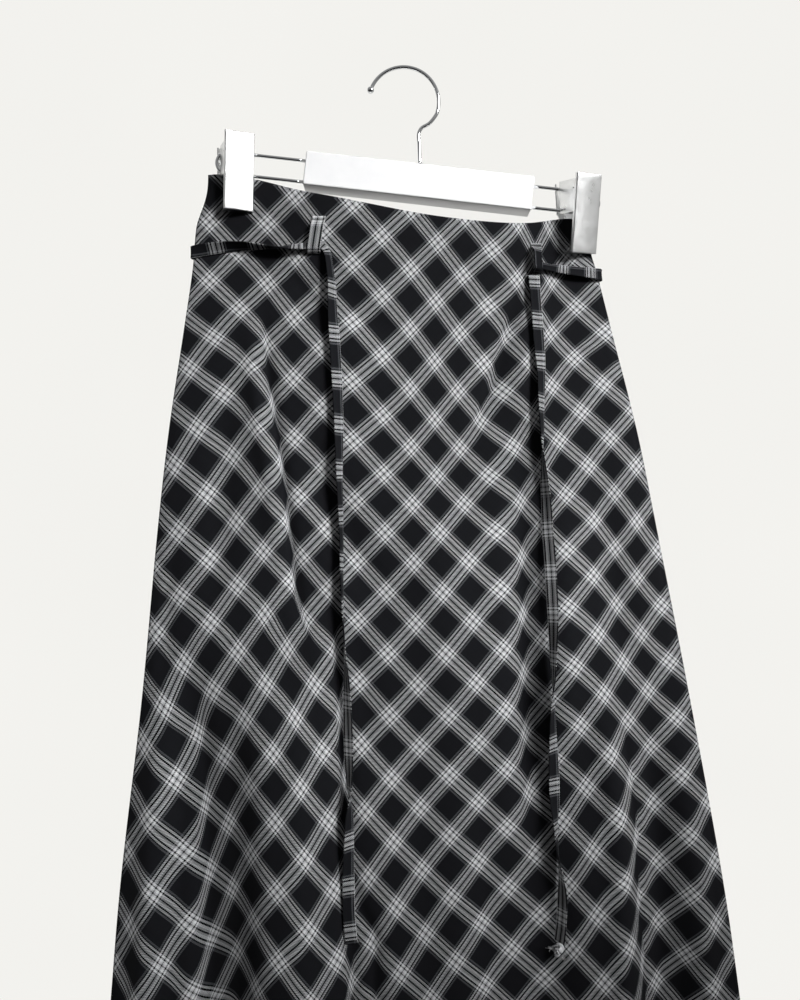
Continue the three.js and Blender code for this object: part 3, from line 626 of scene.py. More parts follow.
# %% Front and back cloth
WALL = 0.5
TURNED_IN = {"wall": 1.3, "depth": 26}
EDGE_ROLL = 0.7
SEAM_DRAW = 7
PANEL_GRID = {"front": (208, 224), "back": (160, 176)}  # squares across and down
for side, sign, node in (("front", -1, "front_panel"), ("back", 1, "back_panel")):
    columns, rows = PANEL_GRID[side]
    across = np.linspace(0, 1, columns + 1)[None, :]
    edge_rows = np.array([0, 0.0003, 0.0007, 0.0012])
    down = np.concatenate([edge_rows, np.linspace(0.003, 1, rows + 1 - len(edge_rows))])[:, None]
    z = mix(read(WAIST, "across", "z", across), read(HEM, "across", "z", across), down)
    left, right = read(SIDES, "z", "left", z), read(SIDES, "z", "right", z)
    x = mix(read(WAIST, "across", "x", across), mix(left, right, across), smooth(down, 0, 0.06))
    out = stands_out(side, x, z)
    middle = np.stack([x, sign * (AT_SEAM + out), z], axis=-1)
    normal = unit(np.cross(np.gradient(middle, axis=1), np.gradient(middle, axis=0)))
    normal *= np.sign(normal[..., 1:2]) * sign
    outer = middle + normal * PANEL_WALL / 2
    from_edge = down * 780
    roll = EDGE_ROLL - np.sqrt(EDGE_ROLL**2 - np.maximum(EDGE_ROLL - from_edge, 0) ** 2)
    outer[..., 1] -= sign * roll
    from_seam = np.minimum(x - x[:, :1], x[:, -1:] - x)
    drawn_in = smooth(from_seam, 0, SEAM_DRAW)
    outer[..., 1] = sign * mix(WALL, sign * outer[..., 1], drawn_in)
    mesh = laid_grid(outer, weave_count(side, x, middle[..., 1], z))
    facing(mesh, (0, sign, 0))
    cloth = make(f"{side}_cloth", mesh, CHECK_CLOTH)
    thicker = cloth.vertex_groups.new(name="turned_in")
    share = (1 - smooth(from_edge, TURNED_IN["depth"] - 4, TURNED_IN["depth"])) * drawn_in
    for corner, weight in enumerate(share.ravel()):
        thicker.add([corner], float(weight), "REPLACE")
    wall = cloth.modifiers.new("wall", "SOLIDIFY")
    wall.thickness = TURNED_IN["wall"] * MM
    wall.offset = -1
    wall.vertex_group = "turned_in"
    wall.thickness_vertex_group = WALL / TURNED_IN["wall"]
    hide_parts(node)

# %% [markdown]
# ## The tie
# The tie is a strip cut along the yarns, folded in on itself, pressed and sewn down one edge, so it shows
# two faces: one nearly black with bars across it, and one with pale lines along it. It lies on the cloth or
# twists and stands on its edge. A curve with a bevel could carry it, but its twist is easier to set by a
# table: each row says where the strip is, how far it has turned over and how much a loop has gathered it.

# %% Where the tie runs
TIE_WIDTH, TIE_THICK, TIE_CLEAR = 10.5, 1.1, 0.6
TIE = "x z turn wide facing y"
FLOATS = float("nan")  # lies on the cloth, so its distance is worked out

TIE_LEFT_END = table(
    "x z turn wide",
    (-71.9, -157, 18, 0.62), (-70.2, -157.4, 20, 0.62), (-66.6, -161, 32, 0.64),
    (-64.4, -168, 46, 0.72), (-63, -178, 54, 0.86), (-61.6, -190, 56, 1), (-60.8, -212, 46, 1),
    (-59.2, -236, 36, 1), (-56.6, -276, 38, 1), (-55, -318.5, 50, 1), (-54.5, -352, 64, 1),
    (-53, -400, 76, 1), (-52, -451, 84, 1), (-50, -498.5, 96, 1), (-48.5, -522, 112, 1),
    (-47.5, -550, 132, 1), (-46.5, -583, 138, 1), (-45.5, -614.5, 118, 1), (-45.5, -642, 56, 1),
    (-46, -667, 40, 1), (-46.5, -694.5, 22, 1), (-46, -725.5, 10, 1), (-44, -749.5, 4, 1),
)
TIE_RIGHT_END = table(
    "x z turn wide",
    (112.5, -181, 16, 1), (114.5, -213, 24, 1), (116, -241, 22, 1), (117.5, -264.5, 40, 1),
    (117.5, -292, 54, 1), (118, -317.5, 66, 1), (118.5, -339, 88, 1), (119.5, -355.5, 112, 1),
    (121, -376, 132, 1), (122, -401.5, 142, 1), (123.5, -426.5, 146, 1), (125, -459.5, 146, 1),
    (125.5, -477, 134, 1), (125.5, -501, 116, 1), (125.5, -525, 96, 1), (125, -542.5, 70, 1),
    (125, -559.5, 55, 1), (125.5, -582.5, 42, 1), (126.5, -607.5, 26, 1), (127, -627, 30, 1),
    (127.5, -648, 62, 1), (128.5, -667, 74, 1), (131.5, -688, 98, 1), (132.5, -709, 126, 1),
    (131.5, -732, 130, 1), (130, -745, 132, 1),
)
TIE_LEFT_ROUND = table(
    TIE,
    (-185, -160.4, 180, 1, -90, -0.4), (-184.8, -160.4, 180, 1, -78, -1.6),
    (-183.6, -160.4, 178, 1, -40, -2.9), (-180.4, -160, 172, 1, 0, FLOATS),
    (-168, -158.4, 152, 1, 0, FLOATS), (-154, -157, 136, 1, 0, FLOATS), (-138, -156.6, 118, 1, 0, FLOATS),
    (-122, -157.4, 96, 1, 0, FLOATS), (-106, -158.2, 70, 0.95, 0, FLOATS),
    (-92, -157.8, 44, 0.8, 0, FLOATS), (-80, -157.1, 20, 0.64, 0, FLOATS),
    (-72.8, -157, 18, 0.62, 0, FLOATS),
)
TIE_RIGHT_ROUND = table(
    TIE,
    (172.4, -180, 176, 1, 90, -0.4), (172.2, -180, 176, 1, 78, -1.6), (170.9, -180, 174, 1, 40, -2.9),
    (164, -179.4, 162, 1, 0, FLOATS), (152, -178.2, 152, 1, 0, FLOATS),
    (138, -176.4, 150, 0.9, 0, FLOATS), (126, -174.4, 158, 0.7, 0, FLOATS),
    (118.5, -173, 160, 0.62, 0, FLOATS), (112.5, -172.8, 160, 0.62, 0, FLOATS),
)
TIE_BEHIND = table(
    TIE,
    (172.4, -180, 176, 1, 90, 0.4), (172.2, -180, 176, 1, 102, 1.6), (170.9, -180, 178, 1, 140, 3),
    (164, -180, 180, 1, 180, FLOATS), (120, -178.6, 180, 1, 180, FLOATS), (60, -176.4, 180, 1, 180, FLOATS),
    (0, -173.6, 180, 1, 180, FLOATS), (-60, -169.4, 180, 1, 180, FLOATS),
    (-120, -164.6, 180, 1, 180, FLOATS), (-177, -160.8, 180, 1, 180, FLOATS),
    (-183.6, -160.4, 180, 1, 220, 3), (-184.8, -160.4, 180, 1, 258, 1.6),
    (-185, -160.4, 180, 1, 270, 0.4),
)

# %% A folded strip
# Half the strip's section, from one edge to the other: where across its width, and how thick it is there.
SECTION = [(1, 0.3), (0.97, 0.75), (0.88, 1), (0.7, 0.9), (0.35, 0.74), (0, 0.7),
           (-0.35, 0.74), (-0.7, 0.9), (-0.88, 1), (-0.97, 0.75), (-1, 0.3)]
ROUND_SECTION = np.array([*SECTION, *[(w, -t) for w, t in reversed(SECTION)], SECTION[0]])
STRIP_STEPS = 7  # rings of corners between two rows of a table
EDGE_COUNT, ROUND_COUNT = 0.165, 0.58  # the check's count at the sewn edge, and what goes once round


def folded(line, wide, thick, half_width, half_thick):
    """Corners of a folded strip along a line, where wide points across it and thick out of it."""
    half_width, half_thick = (np.broadcast_to(half, len(line))[:, None] for half in (half_width, half_thick))
    across, depth = ROUND_SECTION.T
    beside = (half_width * across)[..., None] * wide[:, None]
    return line[:, None] + beside + (half_thick * depth)[..., None] * thick[:, None]


def proudest(side, x, z, reach):
    """Where a panel stands proudest within reach of each place."""
    return np.max([outer_face(side, x + share * reach, z) for share in (-1, -0.5, 0, 0.5, 1)], axis=0)


def strip_grid(rows, along_start, along_repeat, dark_faces=1):
    """A folded strip along a table's rows, with its weave counted along and round it."""
    count = len(rows["x"])
    plain = np.zeros(count)
    facing_way, given = rows.get("facing", plain), rows.get("y", plain + FLOATS)
    turn = np.radians(rows["turn"])
    width = TIE_WIDTH * rows["wide"]
    needs = TIE_CLEAR + (np.abs(np.sin(turn)) * width + np.abs(np.cos(turn)) * TIE_THICK) / 2
    behind = facing_way == 180
    on_front = -proudest("front", rows["x"], rows["z"], width / 2) - needs
    on_back = proudest("back", rows["x"], rows["z"], width / 2) + needs
    y = np.where(np.isnan(given), np.where(behind, on_back, on_front), given)
    line = curve_through(np.stack([rows["x"], y, rows["z"]], axis=-1), STRIP_STEPS)
    numbered = {"i": np.arange(count), "turn": turn, "facing": np.radians(facing_way), "wide": rows["wide"]}
    at = np.linspace(0, count - 1, len(line))
    look, turned = read(numbered, "i", "facing", at), read(numbered, "i", "turn", at)
    half = TIE_WIDTH / 2 * read(numbered, "i", "wide", at)
    outward = np.stack([np.sin(look), -np.cos(look), 0 * look], axis=-1)
    ahead = unit(np.gradient(line, axis=0))
    beside = unit(np.cross(ahead, outward))
    up = np.cross(beside, ahead)
    wide = beside * np.cos(turned)[:, None] + up * np.sin(turned)[:, None]
    places = folded(line, wide, np.cross(ahead, wide), half, TIE_THICK / 2)
    length = walked(line)
    across = ROUND_SECTION[:, 0]
    half_way = len(SECTION)
    round_it = np.concatenate([(1 - across[:half_way]) / 4, 0.5 + (1 + across[half_way:-1]) / 4, [1]])
    from_edge = round_it - 0.5 if dark_faces == 1 else np.abs(round_it - 0.5)
    count_across = EDGE_COUNT + ROUND_COUNT * from_edge[None]
    count_along = along_start + length[:, None] / along_repeat
    weave = np.stack(np.broadcast_arrays(count_across, count_along), axis=-1)
    return laid_grid(places, weave, rolled=True), length[-1]


def tie_piece(name, node, rows, along_start, along_repeat, dark_faces=1):
    mesh, length = strip_grid(rows, along_start, along_repeat, dark_faces)
    piece = make(name, mesh, TIE_CLOTH)
    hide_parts(node)
    print(name, round(length), "mm long")


tie_piece("tie_left_end", "tie_hang_left", TIE_LEFT_END, 0.93, 39)
tie_piece("tie_right_end", "tie_hang_right", TIE_RIGHT_END, 0.87, 36)
on_left, on_right = ["loop_left_cloth", "front_cloth"], ["loop_right_cloth", "front_cloth"]
tie_piece("tie_left_round", "tie_wrap_left", TIE_LEFT_ROUND, 0.3, 36, 2)
tie_piece("tie_right_round", "tie_wrap_right", TIE_RIGHT_ROUND, 0.5, 24, 2)
tie_piece("tie_behind", "tie_back", TIE_BEHIND, 0.4, 36, 2)

# %% [markdown]
# ## Belt loops
# A loop is a short folded strip, sewn flat at its two ends, with its middle bowed out so that the tie can
# pass. A few close stitches across its top, a bar tack, take the pull.

# %% Loops and their bar tacks
LOOP_THICK, LOOP_ROWS = 1.2, 26
LOOP_RISES, LOOP_FALLS = (0.06, 0.34), (0.88, 1)  # where its middle bows out, by shares of its length
LOOP_ENDS = (0.35, 0.1), (0.3, 0.9)  # how much thicker it is sewn at its ends, and over what shares
LOOP_COUNTS = {"half_across": 0.13, "start": 0.93, "repeat": 36}
TACK = {"row": 3, "stitches": 13, "reach": 0.86, "rise": 0.7, "slant": 0.45, "face": 0.62}
LOOPS = [
    {"name": "loop_left_cloth", "node": "loop_front_left", "side": "front", "bow": 4.6, "wide": 11.4,
     "turn": 0, "count": 0.02, "x_top": -72.8, "top": -131.4, "x_low": -77.6, "low": -163.6},
    {"name": "loop_right_cloth", "node": "loop_front_right", "side": "front", "bow": 4.4, "wide": 9.4,
     "turn": 40, "count": 0.33, "x_top": 114.8, "top": -153.4, "x_low": 116.4, "low": -179.4},
    {"name": "loop_back_cloth", "node": "loop_back", "side": "back", "bow": 2.4, "wide": 10,
     "turn": 0, "count": 0.02, "x_top": 0, "top": -158, "x_low": 0, "low": -189},
]


def thread_material(name, colour):
    material, tree, shader = new_material(name, roughness=0.7, specular=0.3)
    place = add(tree, "ShaderNodeTexCoord").outputs["Object"]
    twist = noise(tree, place, 1800, 2, 0.5)
    dark = tuple(0.55 * c for c in colour)
    tree.links.new(ramp(tree, twist, [(0.3, dark), (0.7, colour)]), shader.inputs["Base Color"])
    return material


BLACK_THREAD = thread_material("black_thread", (0.012, 0.012, 0.015))
LOOSE_THREAD = thread_material("loose_thread", (0.5, 0.5, 0.51))


def stitch(start, end, radius=0.24):
    """One stitch: a short bead of thread, round at its ends."""
    start, end = np.array(start, float), np.array(end, float)
    share = np.array([0, 0.08, 0.3, 0.7, 0.92, 1])[:, None]
    girth = radius * np.array([0.25, 0.75, 1, 1, 0.75, 0.25])
    return wire(start * (1 - share) + end * share, girth, sides=6)


tacks = []
for loop in LOOPS:
    sign = -1 if loop["side"] == "front" else 1
    down = np.linspace(0, 1, LOOP_ROWS)
    x = mix(loop["x_top"], loop["x_low"], down)
    z = mix(loop["top"], loop["low"], down)
    lift = smooth(down, *LOOP_RISES) * (1 - smooth(down, *LOOP_FALLS))
    turned = math.radians(loop["turn"]) * lift
    half = loop["wide"] / 2
    bow = loop["bow"] * lift + half * np.abs(np.sin(turned)) * 0.6
    lies = proudest(loop["side"], x, z, half) + SEAM_GAP + LOOP_THICK / 2 + bow
    line = np.stack([x, sign * lies, z], axis=-1)
    ahead = unit(np.gradient(line, axis=0))
    wide = np.stack([np.cos(turned), np.sin(turned), 0 * turned], axis=-1)
    thick = unit(np.cross(wide, ahead)) * sign
    (top_more, top_over), (low_more, low_from) = LOOP_ENDS
    ends = 1 + top_more * (1 - smooth(down, 0, top_over)) + low_more * smooth(down, low_from, 1)
    places = folded(line, wide, thick, half, LOOP_THICK / 2 * ends)
    length = walked(line)
    count_across = loop["count"] + LOOP_COUNTS["half_across"] * ROUND_SECTION[None, :, 0]
    count_along = LOOP_COUNTS["start"] + length[:, None] / LOOP_COUNTS["repeat"]
    weave = np.stack(np.broadcast_arrays(count_across, count_along), axis=-1)
    piece = make(loop["name"], laid_grid(places, weave, rolled=True), TIE_CLOTH)
    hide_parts(loop["node"])
    outwards = thick[TACK["row"]] * (1 if thick[TACK["row"]][1] * sign > 0 else -1)
    face = line[TACK["row"]] + outwards * LOOP_THICK * TACK["face"]
    for at in np.linspace(-TACK["reach"], TACK["reach"], TACK["stitches"]) * half:
        tacks.append(stitch(face + (at, 0, TACK["rise"]), face + (at + TACK["slant"], 0, -TACK["rise"])))
tack_piece = make("loop_bar_tacks", joined(tacks), BLACK_THREAD)

# %% [markdown]
# ## The knot and its loose threads
# The right end of the tie is closed with a small knot, pulled tight, with the cut yarns standing out of it.
# The turns of a knot are a curve that crosses itself three times, so a strip rolled along that curve gives
# lumps and hollows in the right order. Modelling each lump by hand would take longer and look less like a
# knot.

# %% The knot
KNOT = {"x": 129, "z": -752.5, "width": 10, "depth": 7}
TURNS = {"wide": 1.15, "deep": 1.5, "tall": 1.5, "second": 1.6}  # sizes of the strip's curve
HALF_WIDE, HALF_THICK = 2.6, 1.35  # of the rolled strip
turn = np.linspace(0, 2 * math.pi, 73)
knot_y = -proudest("front", np.array([KNOT["x"]]), np.array([KNOT["z"]]), KNOT["width"] / 4)[0]
knot_y -= SEAM_GAP + KNOT["depth"] / 2
loops_of_knot = np.stack(
    [
        KNOT["x"] + TURNS["wide"] * (np.sin(turn) + TURNS["second"] * np.sin(2 * turn)),
        knot_y - TURNS["deep"] * np.sin(3 * turn),
        KNOT["z"] + TURNS["tall"] * (np.cos(turn) - TURNS["second"] * np.cos(2 * turn)),
    ],
    axis=-1,
)
ahead = unit(np.gradient(loops_of_knot, axis=0))
ahead[0] = ahead[-1] = unit(ahead[0] + ahead[-1])
flat_way = unit(np.cross(ahead, (0.0, 1.0, 0.0)))
thick_way = np.cross(ahead, flat_way)
ring = np.linspace(0, 2 * math.pi, 17)
places = (
    loops_of_knot[:, None]
    + HALF_WIDE * np.cos(ring)[None, :, None] * flat_way[:, None]
    + HALF_THICK * np.sin(ring)[None, :, None] * thick_way[:, None]
)
# Across, the counts stay within a light band. Along, they cross it and the bright line beside it.
weave = np.stack(np.broadcast_arrays(ring[None] * 0.03 - 0.1, turn[:, None] * 0.05 - 0.12), axis=-1)
knot_mesh = laid_grid(places, weave)
bmesh.ops.remove_doubles(knot_mesh, verts=knot_mesh.verts, dist=1e-5)
bmesh.ops.recalc_face_normals(knot_mesh, faces=knot_mesh.faces)
knot = make("tie_knot_cloth", knot_mesh, TIE_CLOTH)
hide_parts("tie_knot")

# %% Frayed yarns
dice = random.Random(4)
STRAYS, LEANS, BENDS = 0.9, 0.35, 0.5  # how far a yarn's root, way and bend differ from its tuft's
YARN_POINTS, YARN_RADII = 7, (0.16, 0.07)
left_x, left_z = -40, -746.5
left_y = -proudest("front", np.array([left_x]), np.array([left_z]), 3)[0] - 1.5
FRAYS = [  # where a few cut yarns stand out, which way they point, how many they are and how long
    ((KNOT["x"] - 5, knot_y - 1, KNOT["z"] + 1.5), (-1, -0.2, 0.25), 9, 4.2),
    ((KNOT["x"] + 3.6, knot_y - 1, KNOT["z"] - 5), (0.6, -0.2, -0.8), 7, 3.4),
    ((left_x, left_y, left_z), (0.7, -0.3, -0.8), 4, 2.4),
]


def scatter(most):
    return np.array([dice.uniform(-most, most) for _ in range(3)])


frays = []
share = np.linspace(0, 1, YARN_POINTS)[:, None]
for tuft, points_to, count, long in FRAYS:
    for _ in range(count):
        root = tuft + scatter(STRAYS)
        way = points_to + scatter(LEANS)
        bend = scatter(BENDS)
        reach = long * dice.uniform(0.6, 1.1)
        yarn = root + reach * (way * share + bend * share**2)
        frays.append(wire(yarn, np.linspace(*YARN_RADII, YARN_POINTS), sides=6))
fray_piece = make("frayed_yarns", joined(frays), LOOSE_THREAD)

# %% [markdown]
# ## The hem
# The hem is turned up 9 mm inside and sewn, so from outside there is only a line of small stitches just
# above the edge. Each stitch is a bead of thread that follows the cloth, made by the same function as the
# bar tacks.

# %% Hem stitches
STITCH, STITCH_PITCH, STITCH_RISE, STITCH_RADIUS = 2.3, 3.1, 7.5, 0.2
SUNK = 0.06  # how far the middle of the thread lies off the cloth's face
fine = np.linspace(0.012, 0.988, 900)
for side, sign in (("front", -1), ("back", 1)):
    z = read(HEM, "across", "z", fine) + STITCH_RISE
    x = mix(read(SIDES, "z", "left", z), read(SIDES, "z", "right", z), fine)
    seam = np.stack([x, sign * (outer_face(side, x, z) + SUNK), z], axis=-1)
    far = walked(seam)
    starts = np.arange(0, far[-1] - STITCH, STITCH_PITCH)
    point = lambda at: np.array([np.interp(at, far, seam[:, k]) for k in range(3)])
    stitches = [stitch(point(at), point(at + STITCH), STITCH_RADIUS) for at in starts]
    row = make(f"hem_stitches_{side}", joined(stitches), BLACK_THREAD)

# %% [markdown]
# ## The hanger's bar
# The bar is a hollow plastic moulding with sharp, faintly rounded edges. A bevelled cube is enough for it,
# because its edges catch the light the way a moulding's do.

# %% White plastic
BAR = {"length": 198, "height": 29, "depth": 20, "edge": 1.2}
BAR_CENTRE, BAR_TILT = Vector((13.1, 0, -100.6)), math.radians(6.4)
on_bar = Matrix.Translation(BAR_CENTRE * MM) @ Matrix.Rotation(BAR_TILT, 4, "Y")

white, tree, shader = new_material("white_plastic", roughness=0.34, specular=0.45)
place = add(tree, "ShaderNodeTexCoord").outputs["Object"]
cloudy = noise(tree, place, 60, 4, 0.55)
tint = ramp(tree, cloudy, [(0.3, (0.83, 0.832, 0.84)), (0.7, (0.87, 0.87, 0.873))])
grain = ramp(tree, noise(tree, place, 900, 3, 0.5), [(0.3, (0.3,) * 3), (0.7, (0.4,) * 3)])
tree.links.new(tint, shader.inputs["Base Color"])
tree.links.new(grain, shader.inputs["Roughness"])
bumped(tree, shader, cloudy, 0.06, 0.0004)

bar_mesh = bmesh.new()
bmesh.ops.create_cube(bar_mesh, size=MM)
bmesh.ops.scale(bar_mesh, vec=(BAR["length"], BAR["depth"], BAR["height"]), verts=bar_mesh.verts)
bmesh.ops.bevel(bar_mesh, geom=bar_mesh.edges[:], offset=BAR["edge"] * MM, segments=4, profile=0.5,
                affect="EDGES", material=-1)
bmesh.ops.transform(bar_mesh, matrix=on_bar, verts=bar_mesh.verts)
bar = make("bar_moulding", bar_mesh, white)
bar.data.polygons.foreach_set("use_smooth", [p.area < 4e-4 for p in bar.data.polygons])
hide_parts("hanger_bar")

# %% [markdown]
# ## Chrome
# Plated steel is a mirror with a past: fine scratches from years of sliding on a rail, and a haze where
# fingers have been. Its colour comes from what stands round it, so the roughness carries all the detail.

# %% Plated steel


def plated(name, colour, rough_low, rough_high, scratch=0.05):
    material, tree, shader = new_material(name, roughness=rough_low, metallic=1.0)
    shader.inputs["Base Color"].default_value = (*colour, 1)
    place = add(tree, "ShaderNodeTexCoord").outputs["Object"]
    haze = noise(tree, place, 110, 4, 0.6)
    rough = ramp(tree, haze, [(0.35, (rough_low,) * 3), (0.7, (rough_high,) * 3)])
    tree.links.new(rough, shader.inputs["Roughness"])
    drawn_out = add(tree, "ShaderNodeMapping", (place, None, None, (900, 900, 60))).outputs[0]
    bumped(tree, shader, noise(tree, drawn_out, 1, 3, 0.6), scratch, 0.0002)
    return material


CHROME = plated("chrome_wire", (0.78, 0.79, 0.8), 0.07, 0.16)
CHROME_PLATE = plated("chrome_plate", (0.86, 0.865, 0.86), 0.27, 0.35, scratch=0.012)

# %% [markdown]
# ## Hook and rods
# All of these are bent wire. The hook has a small ball at its tip, so that it doesn't scratch, and a bent
# neck that brings its stem under the middle of the hook. Each rod is one wire bent to a long U.

# %% Bent wire
HOOK = {"wire": 3.3, "radius": 30.6, "tip": 160, "neck": -21, "ball": 3.1}
NECK = [(22.5, -47.5), (15.6, -51.8), (13.2, -56.5), (13.6, -66), (14.4, -85.2)]
hook_centre = -(HOOK["radius"] - HOOK["wire"] / 2)
angles = np.radians(np.arange(HOOK["tip"], HOOK["neck"] - 1, -5))
round_part = [(HOOK["radius"] * math.cos(a), 0, hook_centre + HOOK["radius"] * math.sin(a)) for a in angles]
hook_line = curve_through([*round_part, *[(x, 0, z) for x, z in NECK]], 5)
ball = bmesh.new()
bmesh.ops.create_uvsphere(ball, u_segments=24, v_segments=16, radius=HOOK["ball"] * MM)
bmesh.ops.translate(ball, vec=Vector(round_part[0]) * MM, verts=ball.verts)
COLLAR = [(14.35, 0, -82.6), (14.4, 0, -83.2), (14.45, 0, -84.6), (14.5, 0, -85.3)]
collar = wire(np.array(COLLAR), np.array([2.2, 3, 3, 2.8]), sides=24)
hook = make("hook_wire", joined([wire(hook_line, HOOK["wire"] / 2, 20), ball, collar]), CHROME)
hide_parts("hanger_hook")

ROD = {"wire": 3, "spread": 18.5, "left": 78, "right": 59}
for name, way in (("left", -1), ("right", 1)):
    bend = ROD["spread"] / 2
    start, reach = BAR["length"] / 2 + SEAM_GAP, BAR["length"] / 2 + ROD[name]
    round_end = [(reach - bend + bend * math.cos(a), bend * math.sin(a))
                 for a in np.linspace(math.pi / 2, -math.pi / 2, 13)]
    halfway = (start + reach) / 2
    flat = [(start, bend), (halfway, bend), *round_end, (halfway, -bend), (start, -bend)]
    rod_mesh = wire(curve_through([(way * x, 0, z) for x, z in flat], 4), ROD["wire"] / 2)
    bmesh.ops.transform(rod_mesh, matrix=on_bar, verts=rod_mesh.verts)
    rod = make(f"rod_wire_{name}", rod_mesh, CHROME)
    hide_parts(f"rod_{name}")

# %% [markdown]
# ## Clips
# A clip is two jaws of folded sheet steel and a spring that presses them together. Each jaw is one blank: a
# flat plate with a shallow rim down each side, two ears folded back beside the rods, and a lip folded in at
# the bottom, which bites the cloth. So it is built the same way, from a folded strip whose rims are drawn
# out to ears, cut along the cloth and then given the sheet's thickness.

# %% Jaws of folded sheet
PLATE = {"width": 25.6, "height": 65, "sheet": 1.2, "fold": 1.1, "rim": 3, "ear": 27, "blank": 23}
TOP_EDGE = [(0, 0.9), (0.5, 0.5), (1.4, 0.16), (2.8, 0)]  # how far down from the top, and how far bent in
EAR_DOWN = 3.2  # least distance of an ear from the top
PLATE_EDGE = 0.22
TOUCH = 0.01  # two places nearer than this are the same
CLIPS = [
    {"side": "left", "x": -141, "y": -12, "z": -93.8, "yaw": 23.5, "pitch": 6, "roll": 0.3,
     "back_x": -144.5, "spring_x": -148},
    {"side": "right", "x": 156.7, "y": -14.5, "z": -131.3, "yaw": 24.4, "pitch": 11.3, "roll": 3.4,
     "back_x": 154, "spring_x": 149.5},
]


def jaw_place(clip, back):
    turn = -1 if back else 1
    angles = [math.radians(a) for a in (turn * clip["pitch"], -clip["roll"], turn * clip["yaw"])]
    centre = Vector((clip["back_x"] if back else clip["x"], turn * clip["y"], clip["z"])) * MM
    return Matrix.Translation(centre) @ Euler(angles, "XYZ").to_matrix().to_4x4()


def on_rods(x):
    """Height of the rods' middle line over x."""
    return BAR_CENTRE.z - (x - BAR_CENTRE.x) * math.tan(BAR_TILT)


def jaw(clip, back):
    inward = -1 if back else 1
    half, high, sheet, fold = PLATE["width"] / 2, PLATE["height"] / 2, PLATE["sheet"], PLATE["fold"]
    front = -inward * sheet / 2
    corner = [math.radians(a) for a in (0, 22.5, 45, 67.5, 90)]
    left = [(-half + fold * (1 - math.cos(a)), front + inward * fold * (1 - math.sin(a))) for a in corner]
    rim = front + inward * PLATE["rim"]
    section = [(-half, rim), *left, (0, front), *[(-x, y) for x, y in reversed(left)], (half, rim)]
    low = [(-high + fold * (1 - math.cos(a)), fold * (1 - math.sin(a))) for a in reversed(corner)]
    ear_top = min(on_rods(clip["x"]) - clip["z"] + PLATE["ear"] / 2, high - EAR_DOWN)
    ear_low = ear_top - PLATE["ear"]
    top = [(high - fallen, bent_in) for fallen, bent_in in TOP_EDGE]
    rows = [*top, (ear_top, 0), (ear_low, 0), (-high + fold + 6, 0), *low]
    places = np.array([[(x, y + inward * bent_in * (abs(x) < half - fold - TOUCH), z) for x, y in section]
                       for z, bent_in in rows])
    mesh = laid_grid(places)

    def rim_edges(holds):
        return [e for e in mesh.edges if e.is_boundary and all(holds(v.co / MM) for v in e.verts)]

    blank = (0, inward * PLATE["blank"] * MM, 0)
    for side in (-1, 1):
        pull_out(mesh, rim_edges(lambda at: at.x * side > half - TOUCH
                                 and ear_low - TOUCH < at.z < ear_top + TOUCH), blank)
    pull_out(mesh, rim_edges(lambda at: at.z < TOUCH - high and abs(at.x) < half - fold * 0.9), blank)
    bmesh.ops.transform(mesh, matrix=jaw_place(clip, back), verts=mesh.verts)
    stop = -inward * (OUTER_FACE + SEAM_GAP) * MM
    bmesh.ops.bisect_plane(mesh, geom=mesh.verts[:] + mesh.edges[:] + mesh.faces[:], dist=1e-7,
                           plane_co=(0, stop, 0), plane_no=(0, inward, 0), clear_outer=True)
    facing(mesh, (0, -inward, 0))
    return mesh


for clip in CLIPS:
    for back, word in ((False, "front"), (True, "back")):
        piece = make(f"jaw_{word}_{clip['side']}", jaw(clip, back), CHROME_PLATE)
        sheet = piece.modifiers.new("sheet", "SOLIDIFY")
        sheet.thickness = PLATE["sheet"] * MM
        sheet.offset = -1
        edges = piece.modifiers.new("edges", "BEVEL")
        edges.width = PLATE_EDGE * MM
        edges.segments = 2
        edges.limit_method = "ANGLE"
        edges.angle_limit = math.radians(50)
        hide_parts(f"clip_{word}_{clip['side']}")

# %% [markdown]
# ## Springs
# Between the jaws sits a coil of spring wire, with one leg pressing on each plate. A helix is a formula, so
# the wire follows it from the front leg, round six turns, to the back one.

# %% Springs between the jaws
SPRING = {"radius": 3.2, "wire": 1.3, "length": 10.5, "turns": 6}
LEG_RISE, LEG_CLEAR = 5, 0.2  # how far over the coil a leg ends, and its distance from the plate
for clip in CLIPS:
    x = clip["spring_x"]
    z = on_rods(x)
    touches = []
    for back in (False, True):
        place = jaw_place(clip, back)
        centre, normal = place.translation / MM, place.to_3x3() @ Vector((0, 1, 0))
        y = centre.y - (normal.x * (x - centre.x) + normal.z * (z + LEG_RISE - centre.z)) / normal.y
        touches.append(y + (-1 if back else 1) * (PLATE["sheet"] / 2 + SPRING["wire"] / 2 + LEG_CLEAR))
    angle = np.linspace(0, 2 * math.pi * SPRING["turns"], 24 * SPRING["turns"] + 1)
    slide = np.linspace(-0.5, 0.5, len(angle)) * SPRING["length"]
    round_y, round_z = SPRING["radius"] * np.cos(angle + math.pi), SPRING["radius"] * np.sin(angle)
    coil = np.stack([x + slide, round_y, z + round_z], axis=-1)
    first_x, last_x, half_up = coil[0][0], coil[-1][0], z + LEG_RISE / 2
    front_leg = [(first_x, touches[0], z + LEG_RISE), (first_x, touches[0] * 0.6 - 1.5, half_up)]
    back_leg = [(last_x, touches[1] * 0.6 + 1.5, half_up), (last_x, touches[1], z + LEG_RISE)]
    line = np.vstack([curve_through([*front_leg, coil[0]], 4)[:-1], coil, back_leg])
    spring = make(f"spring_{clip['side']}", wire(line, SPRING["wire"] / 2, 8), CHROME)
    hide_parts(f"clip_spring_{clip['side']}")

